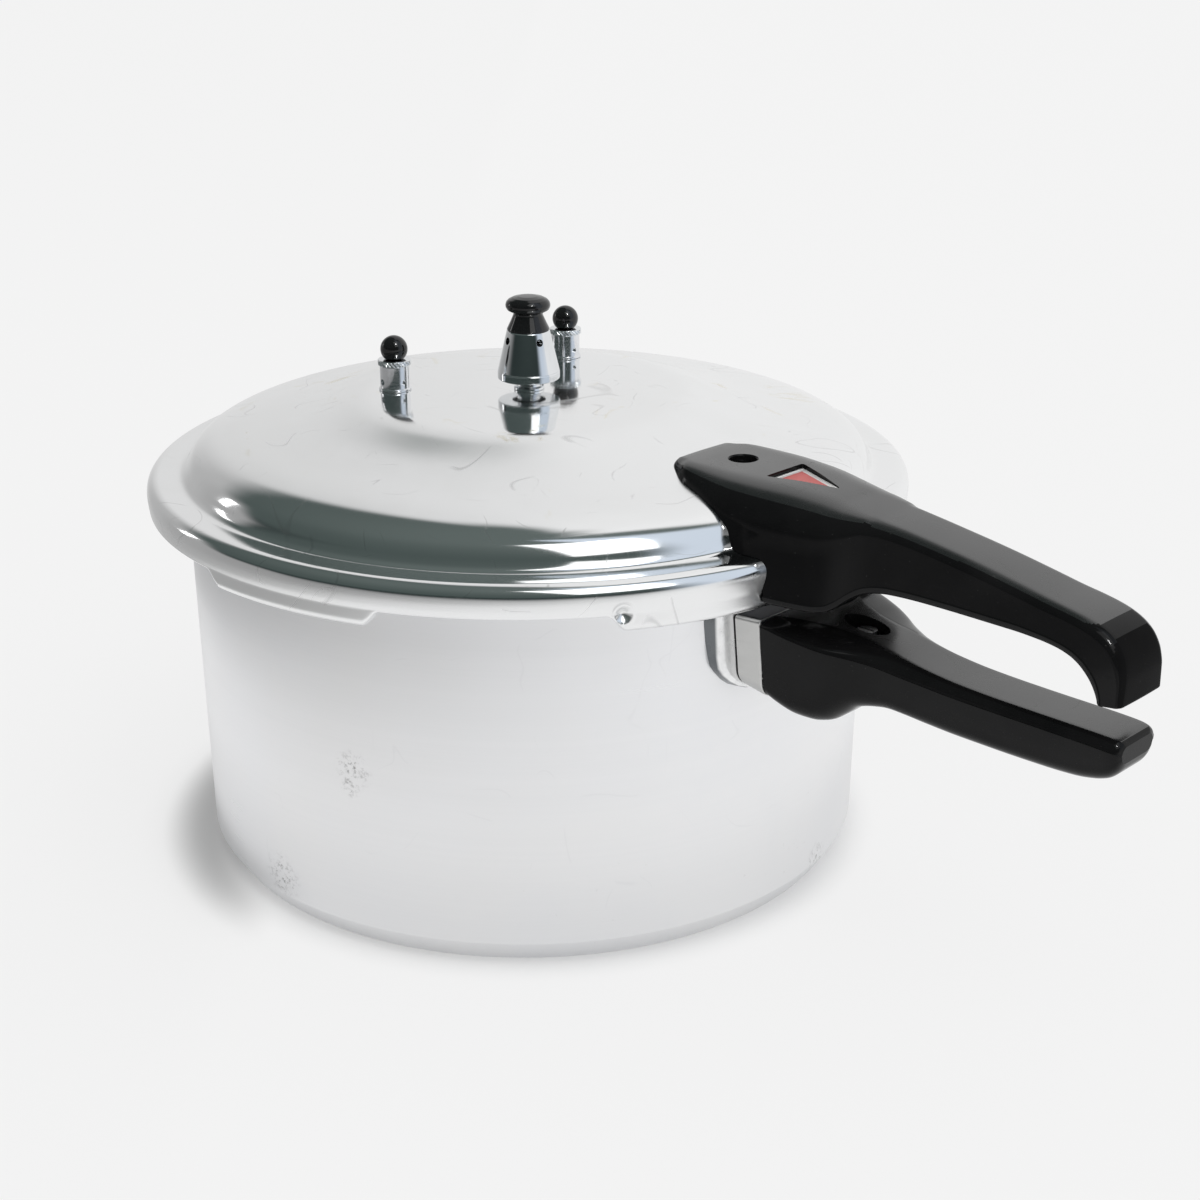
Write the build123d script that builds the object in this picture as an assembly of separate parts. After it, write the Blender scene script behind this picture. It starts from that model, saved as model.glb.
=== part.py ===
from build123d import *
import os
from math import sin, cos, tan, radians, degrees, pi, sqrt, atan2, hypot

# Stovetop pressure cooker with a bayonet lid.
# Frame: +Z up, origin at the centre of the base's underside, both handles point along +X.
# All lengths in millimetres.

# ---------------------------------------------------------------- driving dimensions
# pot
pot_r_top = 157.7          # outer wall radius below the rim
pot_r_bot = 155.9          # outer wall radius at the base bevel
pot_base_r = 149.2         # flat base radius
bevel_h = 10.4             # height of the base bevel
wall_t = 2.5
base_t = 4.5
rim_z0 = 163.5             # underside of the pot's rim flange
rim_t = 3.0
rim_r_lug = 171.0          # flange radius on a bayonet lug
rim_r_gap = 161.4          # flange radius between lugs
# bayonet
lug_n = 6
lid_lug_start = -33.5      # first edge of one lid lug, degrees
lid_lug_arc = 29.5
pot_lug_lead = 3.5         # pot lug starts this many degrees after the lid lug's edge
pot_lug_arc = 25.3
# lid
lid_t = 2.5
lid_top_z = 212.0          # flat top
lid_rim_r = 175.6
lid_flange_z = 180.0
skirt_z = 166.5            # skirt edge between lugs
lug_z = 159.3              # underside of the turned-in lugs
lug_r_in = 162.4
# handles
handle_end_x = 323.0       # lid handle tip
pot_handle_end_x = 323.4
screw_x = 198.4            # screw through the pot handle and its bracket
# centre weight
weight_top_z = 255.3
weight_z0 = 217.1
weight_r = 14.35
# safety valves
valve_r_pos = 61.5
valve_angles = {"left": -134.5, "right": 119.4}
valve_tube_r = 6.85
valve_ball_r = 6.25
valve_ball_z = 18.9        # ball centre above the lid's flat top
# float valve
float_x = 130.0

os.makedirs("parts", exist_ok=True)
nodes = {}


def poly_face_xz(pts):
    """Closed face from (r, z) points, in the XZ plane."""
    p = [Vector(a, 0, b) for a, b in pts]
    return Face(Wire.make_polygon(p, close=True))


def rev(pts, arc=360.0, start=0.0):
    f = poly_face_xz(pts)
    s = revolve(f, axis=Axis.Z, revolution_arc=arc)
    if start:
        s = s.rotate(Axis.Z, start)
    return s


def rev_at(pts, x, y):
    return rev(pts).moved(Location((x, y, 0)))


def cyl(r, z0, z1, x=0.0, y=0.0):
    return Solid.make_cylinder(r, z1 - z0, Plane(origin=(x, y, z0)))


def box(x0, x1, y0, y1, z0, z1):
    return Solid.make_box(x1 - x0, y1 - y0, z1 - z0, Plane(origin=(x0, y0, z0)))


def cyl_x(r, p0, d, length):
    """Cylinder from p0 along direction d."""
    return Solid.make_cylinder(r, length, Plane(origin=p0, z_dir=d))


def hex_prism(af, z0, z1, x=0.0, y=0.0, rot=0.0):
    rc = af / 2 / cos(pi / 6)
    pts = [Vector(x + rc * cos(radians(rot) + k * pi / 3), y + rc * sin(radians(rot) + k * pi / 3), z0) for k in range(6)]
    return extrude(Face(Wire.make_polygon(pts, close=True)), amount=z1 - z0, dir=(0, 0, 1))


def interp(table, x):
    if x <= table[0][0]:
        return table[0][1]
    for (a, fa), (b, fb) in zip(table, table[1:]):
        if x <= b:
            return fa + (fb - fa) * (x - a) / (b - a)
    return table[-1][1]


def offset_line(pts, d):
    """Offsets an open (r, z) polyline to its right-hand side by d."""
    out = []
    n = len(pts)
    for i in range(n):
        ns = []
        if i > 0:
            dx, dz = pts[i][0] - pts[i - 1][0], pts[i][1] - pts[i - 1][1]
            l = hypot(dx, dz)
            ns.append((dz / l, -dx / l))
        if i < n - 1:
            dx, dz = pts[i + 1][0] - pts[i][0], pts[i + 1][1] - pts[i][1]
            l = hypot(dx, dz)
            ns.append((dz / l, -dx / l))
        nx = sum(a for a, _ in ns) / len(ns)
        nz = sum(b for _, b in ns) / len(ns)
        l2 = nx * nx + nz * nz
        out.append((pts[i][0] + d * nx / l2, pts[i][1] + d * nz / l2))
    return out


def fuse(a, *others):
    for o in others:
        a = a + o
    return a


def put(name, shape):
    nodes[name] = shape


# ---------------------------------------------------------------- pot body
rim_z1 = rim_z0 + rim_t
pot_outer = [(0, 0), (pot_base_r - 1.2, 0), (pot_base_r, 0.8), (pot_r_bot - 0.5, bevel_h - 0.8), (pot_r_bot, bevel_h + 0.6),
             (pot_r_top, rim_z0 - 1.5), (pot_r_top + 1.5, rim_z0), (rim_r_lug, rim_z0), (rim_r_lug, rim_z1)]
pot_inner = [(pot_r_top - wall_t + 1.5, rim_z1), (pot_r_top - wall_t, rim_z1 - 1.5), (pot_r_bot - wall_t, 14.0),
             (pot_r_bot - wall_t - 1.3, 9.6), (pot_r_bot - wall_t - 4.5, 6.2), (pot_r_bot - wall_t - 9.0, base_t), (0, base_t)]
pot = rev(pot_outer + pot_inner)
gap = 360.0 / lug_n - pot_lug_arc
for k in range(lug_n):
    a0 = lid_lug_start + pot_lug_lead + pot_lug_arc + k * 360.0 / lug_n
    pot = pot - rev([(rim_r_gap, rim_z0 - 1), (rim_r_lug + 1, rim_z0 - 1), (rim_r_lug + 1, rim_z1 + 1), (rim_r_gap, rim_z1 + 1)], gap, a0)

# ---------------------------------------------------------------- pot bracket, rivets
br_z0, br_z1 = 118.0, 156.0
wall_outer = [(140.0, 100.0), (pot_r_bot + (pot_r_top - pot_r_bot) * (100.0 - bevel_h - 0.6) / (rim_z0 - 1.5 - bevel_h - 0.6), 100.0),
              (pot_r_top, rim_z0 - 1.5), (pot_r_top, 170.0), (140.0, 170.0)]
wall_solid = rev(wall_outer)
flange_half = 17.3
pad_half = 14.6
pad_r = 162.0
flange = rev([(150, br_z0), (158.8, br_z0), (158.8, br_z1), (150, br_z1)], 2 * flange_half, -flange_half)
pad = rev([(150, br_z0 + 1), (pad_r, br_z0 + 1), (pad_r, br_z1 - 0.8), (150, br_z1 - 0.8)], 2 * pad_half, -pad_half)
tang = box(150, 217, -9, 9, 134, 140)
web = box(150, 186, -3, 3, 126, 148)
shoulder_blk = box(150, 176, -20, 20, 129, 145)
bracket = fuse(flange, pad, tang, web, shoulder_blk) - wall_solid
rivet_pts = [(a, z) for a in (-9.0, 9.0) for z in (126.5, 147.5)]
rivets = []
for a, z in rivet_pts:
    d = Vector(cos(radians(a)), sin(radians(a)), 0)
    p_in = d * 151.0 + Vector(0, 0, z)
    bracket = bracket - cyl_x(2.5, p_in, d, 20)
    pot = pot - cyl_x(2.5, p_in, d, 8)
    wall_in = 154.4
    head_in = revolve(Face(Wire.make_polygon([Vector(0, 0, 0), Vector(3.2, 0, 0), Vector(4.8, 0, 0.9), Vector(5.0, 0, 1.6), Vector(0, 0, 1.6)], close=True)), axis=Axis.Z)
    shank = Solid.make_cylinder(2.5, 9.2, Plane(origin=(0, 0, 1.6)))
    head_out = revolve(Face(Wire.make_polygon([Vector(0, 0, 9.2), Vector(4.6, 0, 9.2), Vector(4.2, 0, 10.4), Vector(2.8, 0, 11.2), Vector(0, 0, 11.5)], close=True)), axis=Axis.Z)
    r_v = fuse(head_in, shank, head_out)
    pl = Plane(origin=d * 153.0 + Vector(0, 0, z), z_dir=d)
    rivets.append(r_v.moved(pl.location))
bracket = bracket - cyl(2.6, 120, 150, screw_x, 0)
put("pot_bracket", bracket)
put("pot_bracket_rivets", Compound(children=rivets))


# ---------------------------------------------------------------- handle lofting
def corner(cx, cz, r, a0, a1, n):
    return [(cx + r * cos(radians(a0 + (a1 - a0) * i / n)), cz + r * sin(radians(a0 + (a1 - a0) * i / n))) for i in range(n + 1)]


def section(x, zt, zb, hw, rt, rb, n=4):
    rt = min(rt, hw - 1.0, (zt - zb) * 0.62)
    rb = min(rb, hw - 1.0, (zt - zb) * 0.32)
    pts = corner(hw - rt, zt - rt, rt, 0, 90, n) + corner(-hw + rt, zt - rt, rt, 90, 180, n)
    pts += corner(-hw + rb, zb + rb, rb, 180, 270, 2) + corner(hw - rb, zb + rb, rb, 270, 360, 2)
    return Wire.make_polygon([Vector(x, y, z) for y, z in pts], close=True)


def loft_handle(xs, zt, zb, hw, rt, rb):
    ws = [section(x, interp(zt, x), interp(zb, x), interp(hw, x), interp(rt, x), interp(rb, x)) for x in xs]
    return Solid.make_loft(ws, ruled=True)


# lid handle: height of top line, underside, half width, corner radii, along X
uh_zt = [(105.5, 203.8), (107, 205.0), (110, 205.8), (118, 206.2), (150, 206.4), (165, 206.1), (175, 205.4), (185, 204.4), (195, 203.0),
         (205, 201.8), (215, 200.7), (225, 199.6), (235, 198.3), (250, 196.1), (270, 192.8), (287, 189.7), (303, 186.8),
         (309, 185.1), (315, 182.0), (319.3, 177.8), (322, 172.0), (323.0, 166.0)]
uh_zb = [(105.5, 176.0), (150, 170.0), (165, 162.5), (197, 162.3), (200.5, 163.6), (204, 167.6), (208, 170.8), (213, 172.4), (220, 173.4),
         (240, 174.1), (270, 174.3), (285, 173.8), (297, 172.1), (303, 170.0), (308, 165.6), (311, 160.4), (313, 157.2), (315, 156.1), (323.0, 156.1)]
uh_hw = [(105.5, 17.0), (107, 18.6), (112, 23.0), (119, 27.5), (127, 30.2), (135, 32.6), (143, 35.0), (150, 36.8), (160, 37.3), (168, 36.4),
         (178, 34.4), (188, 32.4), (194, 30.2), (199, 26.6), (203, 22.6), (208, 19.0), (214, 17.5), (222, 16.8), (240, 16.3), (300, 16.0),
         (315, 16.0), (319.3, 15.8), (322, 15.2), (323.0, 14.4)]
uh_rt = [(105.5, 3.0), (112, 7.0), (119, 10.5), (135, 15.0), (150, 19.0), (168, 19.0), (188, 17.0), (199, 12.0), (208, 7.5), (222, 6.0), (300, 5.0), (323.0, 3.0)]
uh_rb = [(105.5, 2.0), (165, 2.0), (197, 2.5), (205, 3.5), (300, 3.0), (323.0, 2.0)]
uh_x = [105.5, 107, 112, 119, 127, 135, 143, 150, 160, 165, 168, 178, 188, 194, 197, 200.5, 203, 205.5, 208, 213, 220, 235, 250, 270, 285, 297, 303, 308,
        311, 313, 315, 319.3, 322, handle_end_x]
lid_handle = loft_handle(uh_x, uh_zt, uh_zb, uh_hw, uh_rt, uh_rb)

# pot handle
lh_zt = [(170, 153.6), (180, 152.7), (190, 151.6), (198, 150.5), (206, 149.6), (212, 148.8), (218, 147.7), (226, 146.2), (235, 144.9), (245, 143.9),
         (255, 143.4), (270, 143.0), (285, 142.9), (300, 142.9), (319, 142.5), (323.4, 140.4)]
lh_zb = [(170, 117.8), (175, 114.6), (182, 111.6), (189, 110.6), (195, 111.8), (200, 115.4), (206, 120.0), (212, 121.4), (218, 121.9), (226, 121.3),
         (236, 120.4), (252, 119.8), (270, 119.7), (289, 120.0), (306, 121.2), (315, 123.4), (320.5, 127.2), (323.4, 131.0)]
lh_hw = [(170, 34.3), (180, 33.2), (190, 31.0), (197, 28.2), (204, 24.0), (210, 20.4), (216, 17.8), (222, 16.5), (235, 15.4), (260, 14.9), (300, 14.7),
         (315, 14.6), (320.5, 14.0), (323.4, 12.4)]
lh_rt = [(170, 4.5), (182, 7.5), (198, 8.0), (208, 6.5), (220, 4.5), (323.4, 3.6)]
lh_rb = [(170, 7.0), (190, 10.0), (206, 8.0), (222, 6.5), (300, 6.0), (323.4, 3.0)]
lh_x = [170, 175, 182, 189, 195, 200, 206, 212, 218, 226, 236, 252, 270, 289, 300, 306, 315, 320.5, pot_handle_end_x]
pot_handle = loft_handle(lh_x, lh_zt, lh_zb, lh_hw, lh_rt, lh_rb)
# socket for the bracket's shoulder and tang, oval screw recess, screw and nut bores
pot_handle = pot_handle - box(165, 176.3, -20.3, 20.3, 128.7, 145.3) - box(165, 217.3, -9.2, 9.2, 133.8, 140.2) - box(165, 186.3, -3.2, 3.2, 125.8, 148.2)
oval = extrude(Face(Wire.make_ellipse(10.3, 6.4, Plane(origin=(screw_x, 0, 146.0)))), amount=12, dir=(0, 0, 1))
pot_handle = pot_handle - oval - cyl(2.7, 110, 150, screw_x, 0) - hex_prism(7.4, 108, 129.4, screw_x, 0)
put("pot_handle", pot_handle)
screw = fuse(cyl(4.2, 146.0, 148.4, screw_x, 0), cyl(2.4, 126.0, 146.0, screw_x, 0)) - box(screw_x - 5, screw_x + 5, -0.5, 0.5, 147.3, 149)
nut = hex_prism(7.2, 126.2, 129.3, screw_x, 0) - cyl(2.4, 120, 135, screw_x, 0)
put("pot_handle_screw", screw)
put("pot_handle_nut", nut)

# ferrule: thin steel band around the bracket's nose, between pad and handle
fer_x1 = 169.8


def fer_wire(x, grow):
    hw0 = 36.8 + (34.3 - 36.8) * (x - 156.0) / (170.0 - 156.0)
    return section(x, 153.9 + grow, 117.9 + 0.3 * (170.0 - x) - grow, hw0 + grow, 1.8 + grow, 7.0 + grow)


fer_out = Solid.make_loft([fer_wire(150, 0.2), fer_wire(fer_x1, 0.2)], ruled=True)
fer_in = Solid.make_loft([fer_wire(149, -0.9), fer_wire(fer_x1 + 1, -0.9)], ruled=True)
ferrule = fer_out - fer_in - Solid.make_cylinder(pad_r + 0.15, 80, Plane(origin=(0, 0, 100)))
put("pot_ferrule", ferrule)
put("pot_body", pot)

# ---------------------------------------------------------------- lid shell
lid_outer = [(0, lid_top_z), (72, lid_top_z), (76, 211.6), (80, 210.6), (86, 208.6), (92, 206.6), (100, 204.2), (108, 202.3), (120, 200.0),
             (133, 197.9), (140, 196.4), (146, 194.5), (150.5, 192.2), (153.8, 189.4), (156.0, 186.2), (157.2, 183.6), (158.6, 181.4), (160.6, 180.3), (163.0, lid_flange_z),
             (169.6, lid_flange_z), (172.2, 179.4), (174.2, 177.9), (175.3, 175.9), (lid_rim_r, 173.6), (175.4, 170.0), (175.0, skirt_z)]
lid_inner = offset_line(lid_outer, lid_t)
lid_inner[0] = (0, lid_top_z - lid_t)
lid_inner[-1] = (175.0 - lid_t, skirt_z)
lid = rev(lid_outer + lid_inner[::-1])
for k in range(lug_n):
    a0 = lid_lug_start + k * 60.0
    lug = rev([(174.6, skirt_z + 0.4), (174.9, 162.0), (174.2, 160.2), (172.6, lug_z), (lug_r_in, lug_z), (lug_r_in, lug_z + 2.9),
               (171.4, lug_z + 2.9), (172.3, 163.2), (172.4, skirt_z + 0.4)], lid_lug_arc, a0)
    lid = lid + lug
# stop dimple: pressed in from outside near one lug's edge
stop_a = lid_lug_start + 1.75
sd = Vector(cos(radians(stop_a)), sin(radians(stop_a)), 0)
bump = cyl_x(3.4, sd * 169.2 + Vector(0, 0, 167.2), sd, 4.2)
dimple = Solid.make_cone(1.2, 3.0, 2.6, Plane(origin=sd * 173.4 + Vector(0, 0, 167.2), z_dir=sd))
lid = (lid + bump) - dimple
# flat boss for the float valve
fb_z0, fb_z1 = 194.2, 199.8
lid = lid + cyl(9.5, fb_z0, fb_z1, float_x, 0)
lid = lid - cyl(4.05, 180, 210, float_x, 0)
# holes for vent pipe and safety valves
lid = lid - cyl(4.55, 200, 220)
for nm, a in valve_angles.items():
    vx, vy = valve_r_pos * cos(radians(a)), valve_r_pos * sin(radians(a))
    lid = lid - cyl(4.55, 200, 220, vx, vy)
# rivet holes in the flange
lid_rivet_xy = [(166.0, 8.5), (166.0, -8.5)]
for x, y in lid_rivet_xy:
    lid = lid - cyl(2.0, 170, 190, x, y) - Solid.make_cone(3.6, 2.0, 1.4, Plane(origin=(x, y, 177.5)))
put("lid_shell", lid)

gasket = rev([(158.6, 177.4), (169.6, 177.4), (171.0, 176.4), (171.7, 175.0), (171.7, 171.3), (168.9, 171.0), (168.6, 166.85), (164.5, 166.85), (163.4, 168.0), (163.4, 172.6), (158.6, 172.6)])
put("lid_gasket", gasket)

# ---------------------------------------------------------------- lid bracket, rivets, screws, lid handle, badge
lb = box(163.4, 213, -13, 13, 180.05, 182.55)
lb = lb + box(178.0, 213, -13, -10.5, 176.5, 182.55) + box(178.0, 213, 10.5, 13, 176.5, 182.55)
lid_screw_x = (188.0, 206.0)
for x in lid_screw_x:
    lb = lb - cyl(2.3, 170, 190, x, 0)
for x, y in lid_rivet_xy:
    lb = lb - cyl(2.0, 170, 190, x, y)
put("lid_bracket", lb)
lr = []
for x, y in lid_rivet_xy:
    body = fuse(cyl(2.0, 178.9, 182.55, x, y), Solid.make_cone(3.6, 2.0, 1.4, Plane(origin=(x, y, 177.5))),
                rev_at([(0, 182.55), (4.0, 182.55), (3.6, 183.7), (2.2, 184.5), (0, 184.8)], x, y))
    lr.append(body)
put("lid_bracket_rivets", Compound(children=lr))
ls = []
for x in lid_screw_x:
    s = fuse(rev_at([(0, 177.4), (2.6, 177.5), (4.0, 178.4), (4.2, 180.0), (0, 180.0)], x, 0), cyl(2.1, 180.0, 195.0, x, 0))
    s = s - box(x - 3, x + 3, -0.4, 0.4, 176.5, 178.4) - box(x - 0.4, x + 0.4, -3, 3, 176.5, 178.4)
    ls.append(s)
put("lid_handle_screws", Compound(children=ls))

envelope = rev([(0, 140.0)] + [(0, lid_top_z + 0.15)] + offset_line(lid_outer[1:-1], -0.15) + [(175.8, skirt_z), (175.8, 140.0)])
lid_handle = lid_handle - envelope
lid_handle = lid_handle - box(160.0, 214.0, -13.3, 13.3, 179.8, 182.9) - box(150, 209.0, -13.3, 13.3, 150, 181.0) - box(200, 214.0, -13.3, 13.3, 176.0, 182.0)
for x, y in lid_rivet_xy:
    lid_handle = lid_handle - cyl(4.4, 176, 185.2, x, y)
for x in lid_screw_x:
    lid_handle = lid_handle - cyl(2.1, 176, 195.2, x, 0)
lid_handle = lid_handle - cyl(10.2, 185, 202.9, float_x, 0) - cyl(6.0, 190, 215, float_x, 0)
# triangular badge recess, point outwards
b_x0, b_x1, b_hw = 152.4, 182.0, 12.0


def tri(d, z0, z1):
    pts = [Vector(b_x0 + d, b_hw - 1.6 * d, z0), Vector(b_x0 + d, -b_hw + 1.6 * d, z0), Vector(b_x1 - 2.2 * d, 0, z0)]
    return extrude(Face(Wire.make_polygon(pts, close=True)), amount=z1 - z0, dir=(0, 0, 1))


lid_handle = lid_handle - tri(0, 203.6, 210)
put("lid_handle", lid_handle)
put("handle_badge", tri(0.25, 203.6, 204.6))

# ---------------------------------------------------------------- vent pipe group
vent = rev([(1.25, 197.0), (4.4, 197.0), (4.5, 197.4), (4.5, 212.05), (7.0, 212.05), (7.0, 213.2), (6.2, 213.6), (5.4, 213.6), (5.4, 215.0), (4.7, 215.2), (4.7, 216.0),
            (5.4, 216.2), (5.4, 217.6), (4.2, 218.8), (3.5, 219.4), (3.5, 231.4), (2.2, 233.3), (1.25, 233.3)])
put("vent_pipe", vent)
put("vent_pipe_washer", rev([(4.6, 208.0), (8.0, 208.0), (8.0, 209.5), (4.6, 209.5)]))
put("vent_pipe_nut", hex_prism(14.0, 203.6, 208.0) - cyl(4.5, 200, 212))
strainer = rev([(4.55, 203.4), (4.55, 198.6), (5.6, 198.6), (5.6, 196.0), (0, 196.0), (0, 194.8), (6.8, 194.8), (6.8, 203.4)])
for k in range(8):
    a = radians(k * 45.0)
    strainer = strainer - cyl(0.7, 194, 197, 3.6 * cos(a), 3.6 * sin(a))
put("vent_strainer", strainer)

# ---------------------------------------------------------------- centre weight
w_neck_z = 239.6
wb = rev([(7.7, weight_z0), (weight_r - 0.5, weight_z0), (weight_r, weight_z0 + 0.5), (weight_r, 220.4), (weight_r - 0.25, 220.9), (9.9, w_neck_z - 0.3), (9.6, w_neck_z), (4.0, w_neck_z),
          (4.0, 237.6), (6.4, 237.6), (6.4, 229.2), (3.6, 229.2), (3.6, 221.4), (7.7, 221.4)])
for k in range(4):
    a = radians(-15.0 + 90 * k)
    wb = wb - cyl_x(1.7, Vector(3.9 * cos(a), 3.9 * sin(a), 235.4 - 1.4), Vector(cos(a), sin(a), 0.22), 12)
put("weight_body", wb)
knob = rev([(1.6, 240.2), (1.6, 237.6), (4.0, 237.6), (4.0, w_neck_z), (9.55, w_neck_z), (9.6, 240.0), (6.5, 246.8), (6.6, 247.6), (8.0, 248.2), (9.6, 249.2), (10.2, 250.9),
            (10.0, 252.4), (8.9, 253.8), (6.8, 254.7), (3.6, 255.2), (0, weight_top_z), (0, 240.2)])
put("weight_knob", knob)
needle = rev([(0, 240.15), (1.6, 240.15), (1.6, 237.6), (2.6, 237.6), (2.6, 235.4), (1.0, 233.75), (0, 233.6)])
put("weight_needle", needle)

# ---------------------------------------------------------------- safety valves
for nm, a in valve_angles.items():
    vx, vy = valve_r_pos * cos(radians(a)), valve_r_pos * sin(radians(a))
    z0 = lid_top_z
    body = rev_at([(2.2, z0 - 10.0), (4.3, z0 - 10.0), (4.5, z0 - 9.6), (4.5, z0 + 0.05), (7.5, z0 + 0.05), (7.5, z0 + 0.9), (valve_tube_r, z0 + 1.2), (valve_tube_r, z0 + 11.5),
                   (5.3, z0 + 11.5), (5.3, z0 + 1.0), (2.2, z0 + 1.0)], vx, vy)
    for k in range(4):
        b = radians(-8.0 + 90 * k)
        body = body - cyl_x(1.4, Vector(vx + 4.5 * cos(b), vy + 4.5 * sin(b), z0 + 4.2), Vector(cos(b), sin(b), 0), 4)
    put(nm + "_valve_body", body)
    # knurled ring: shallow vertical flutes around the rim, threaded skirt inside the tube
    cap = rev_at([(2.0, z0 + 14.3), (2.0, z0 + 11.6), (3.9, z0 + 11.6), (3.9, z0 + 9.0), (5.2, z0 + 9.0), (5.2, z0 + 11.6), (7.35, z0 + 11.6), (7.65, z0 + 11.9), (7.65, z0 + 14.0), (7.3, z0 + 14.3)], vx, vy)
    flutes = []
    for k in range(32):
        b = radians(k * 360.0 / 32)
        flutes.append(cyl(0.42, z0 + 11, z0 + 15, vx + 7.75 * cos(b), vy + 7.75 * sin(b)))
    cap = cap - Compound(children=flutes)
    put(nm + "_valve_cap", cap)
    # plunger: poppet disc on a stem; the ball knob is pressed on its top
    pl = rev_at([(0, z0 + 1.15), (2.6, z0 + 1.15), (4.5, z0 + 1.9), (4.5, z0 + 2.9), (1.9, z0 + 2.9), (1.9, z0 + 18.5), (0, z0 + 18.5)], vx, vy)
    put(nm + "_valve_plunger", pl)
    n = 14
    zc = z0 + valve_ball_z
    zb = z0 + 14.55
    a0 = degrees(atan2(zb - zc, sqrt(valve_ball_r ** 2 - (zb - zc) ** 2)))
    arc = [(valve_ball_r * cos(radians(a0 + (90 - a0) * i / n)), zc + valve_ball_r * sin(radians(a0 + (90 - a0) * i / n))) for i in range(n + 1)]
    arc[-1] = (0, zc + valve_ball_r)
    ball = rev_at([(1.9, zb)] + arc + [(0, z0 + 18.5), (1.9, z0 + 18.5)], vx, vy)
    put(nm + "_valve_ball", ball)
    helix = Edge.make_helix(pitch=1.9, height=7.6, radius=3.05, center=(vx, vy, z0 + 3.45))
    spring = sweep(Face(Wire.make_circle(0.35, Plane(origin=helix @ 0, z_dir=helix % 0))), path=helix, is_frenet=True)
    put(nm + "_valve_spring", spring)
    put(nm + "_valve_washer", rev_at([(4.6, z0 - 4.0), (8.2, z0 - 4.0), (8.2, z0 - lid_t), (4.6, z0 - lid_t)], vx, vy))
    put(nm + "_valve_nut", hex_prism(14.0, z0 - 8.2, z0 - 4.0, vx, vy, 12.0) - cyl(4.5, z0 - 10, z0, vx, vy))

# ---------------------------------------------------------------- float valve
fx = float_x
put("float_valve_bush", rev_at([(2.6, 189.0), (3.9, 189.0), (4.0, 189.3), (4.0, fb_z1), (7.4, fb_z1), (7.4, 200.6), (7.0, 201.0), (2.6, 201.0)], fx, 0))
put("float_valve_washer", rev_at([(4.1, 192.8), (7.6, 192.8), (7.6, fb_z0), (4.1, fb_z0)], fx, 0))
put("float_valve_nut", hex_prism(12.0, 189.6, 192.8, fx, 0, 30.0) - cyl(4.0, 185, 198, fx, 0))
pin = rev_at([(0, 179.5), (3.4, 179.5), (3.9, 180.0), (3.9, 181.5), (2.5, 181.5), (2.5, 201.15), (2.0, 201.15), (2.0, 201.85), (2.5, 201.85), (2.5, 202.2), (2.1, 202.6), (0, 202.6)], fx, 0)
put("float_pin", pin)
put("float_pin_seal", rev_at([(2.5, 181.5), (3.7, 181.5), (3.9, 182.1), (3.7, 182.7), (2.5, 182.7)], fx, 0))
put("float_pin_clip", rev_at([(2.0, 201.2), (4.4, 201.2), (4.4, 201.8), (2.0, 201.8)], fx, 0) - box(fx, fx + 6, -1.2, 1.2, 200, 203))

# ---------------------------------------------------------------- write
for name, shape in nodes.items():
    export_step(shape, f"parts/{name}.step")
print(len(nodes), "nodes")
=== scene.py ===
import bpy, bmesh
from math import sin, cos, tan, radians, degrees, pi, sqrt, atan2, hypot
import numpy as np
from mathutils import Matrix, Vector


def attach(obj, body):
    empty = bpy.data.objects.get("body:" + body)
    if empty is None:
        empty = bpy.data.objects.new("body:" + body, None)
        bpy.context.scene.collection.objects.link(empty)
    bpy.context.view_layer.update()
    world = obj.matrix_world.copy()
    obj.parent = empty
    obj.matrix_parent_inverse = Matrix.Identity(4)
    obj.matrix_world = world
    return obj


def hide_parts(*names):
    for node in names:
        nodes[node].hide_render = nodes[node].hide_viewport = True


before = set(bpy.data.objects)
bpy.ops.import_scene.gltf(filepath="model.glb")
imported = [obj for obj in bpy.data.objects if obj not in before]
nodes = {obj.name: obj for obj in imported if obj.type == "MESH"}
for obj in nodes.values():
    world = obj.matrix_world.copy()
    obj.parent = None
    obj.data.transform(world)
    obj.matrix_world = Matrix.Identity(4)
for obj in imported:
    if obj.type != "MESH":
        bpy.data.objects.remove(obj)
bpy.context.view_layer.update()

MM = 0.001

# ------------------------------------------------------------------ camera
CAM_POS = Vector((0.6430, -0.6102, 0.4526))
_az, _el = radians(134.38), radians(-21.31)
CAM_DIR = Vector((cos(_az) * cos(_el), sin(_az) * cos(_el), sin(_el)))
cam_data = bpy.data.cameras.new("camera")
cam_data.lens, cam_data.sensor_width = 59.32, 36.0
cam_data.clip_start, cam_data.clip_end = 0.02, 200.0
cam = bpy.data.objects.new("camera", cam_data)
cam.location = CAM_POS
cam.rotation_mode = "QUATERNION"
cam.rotation_quaternion = CAM_DIR.to_track_quat("-Z", "Y")
bpy.context.scene.collection.objects.link(cam)
bpy.context.scene.camera = cam
bpy.context.scene.view_settings.view_transform = "Standard"

FWD = Vector((cos(_az), sin(_az), 0)).normalized()      # horizontal, away from the camera
RGT = Vector((FWD.y, -FWD.x, 0))                        # horizontal, to the image's right


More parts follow.
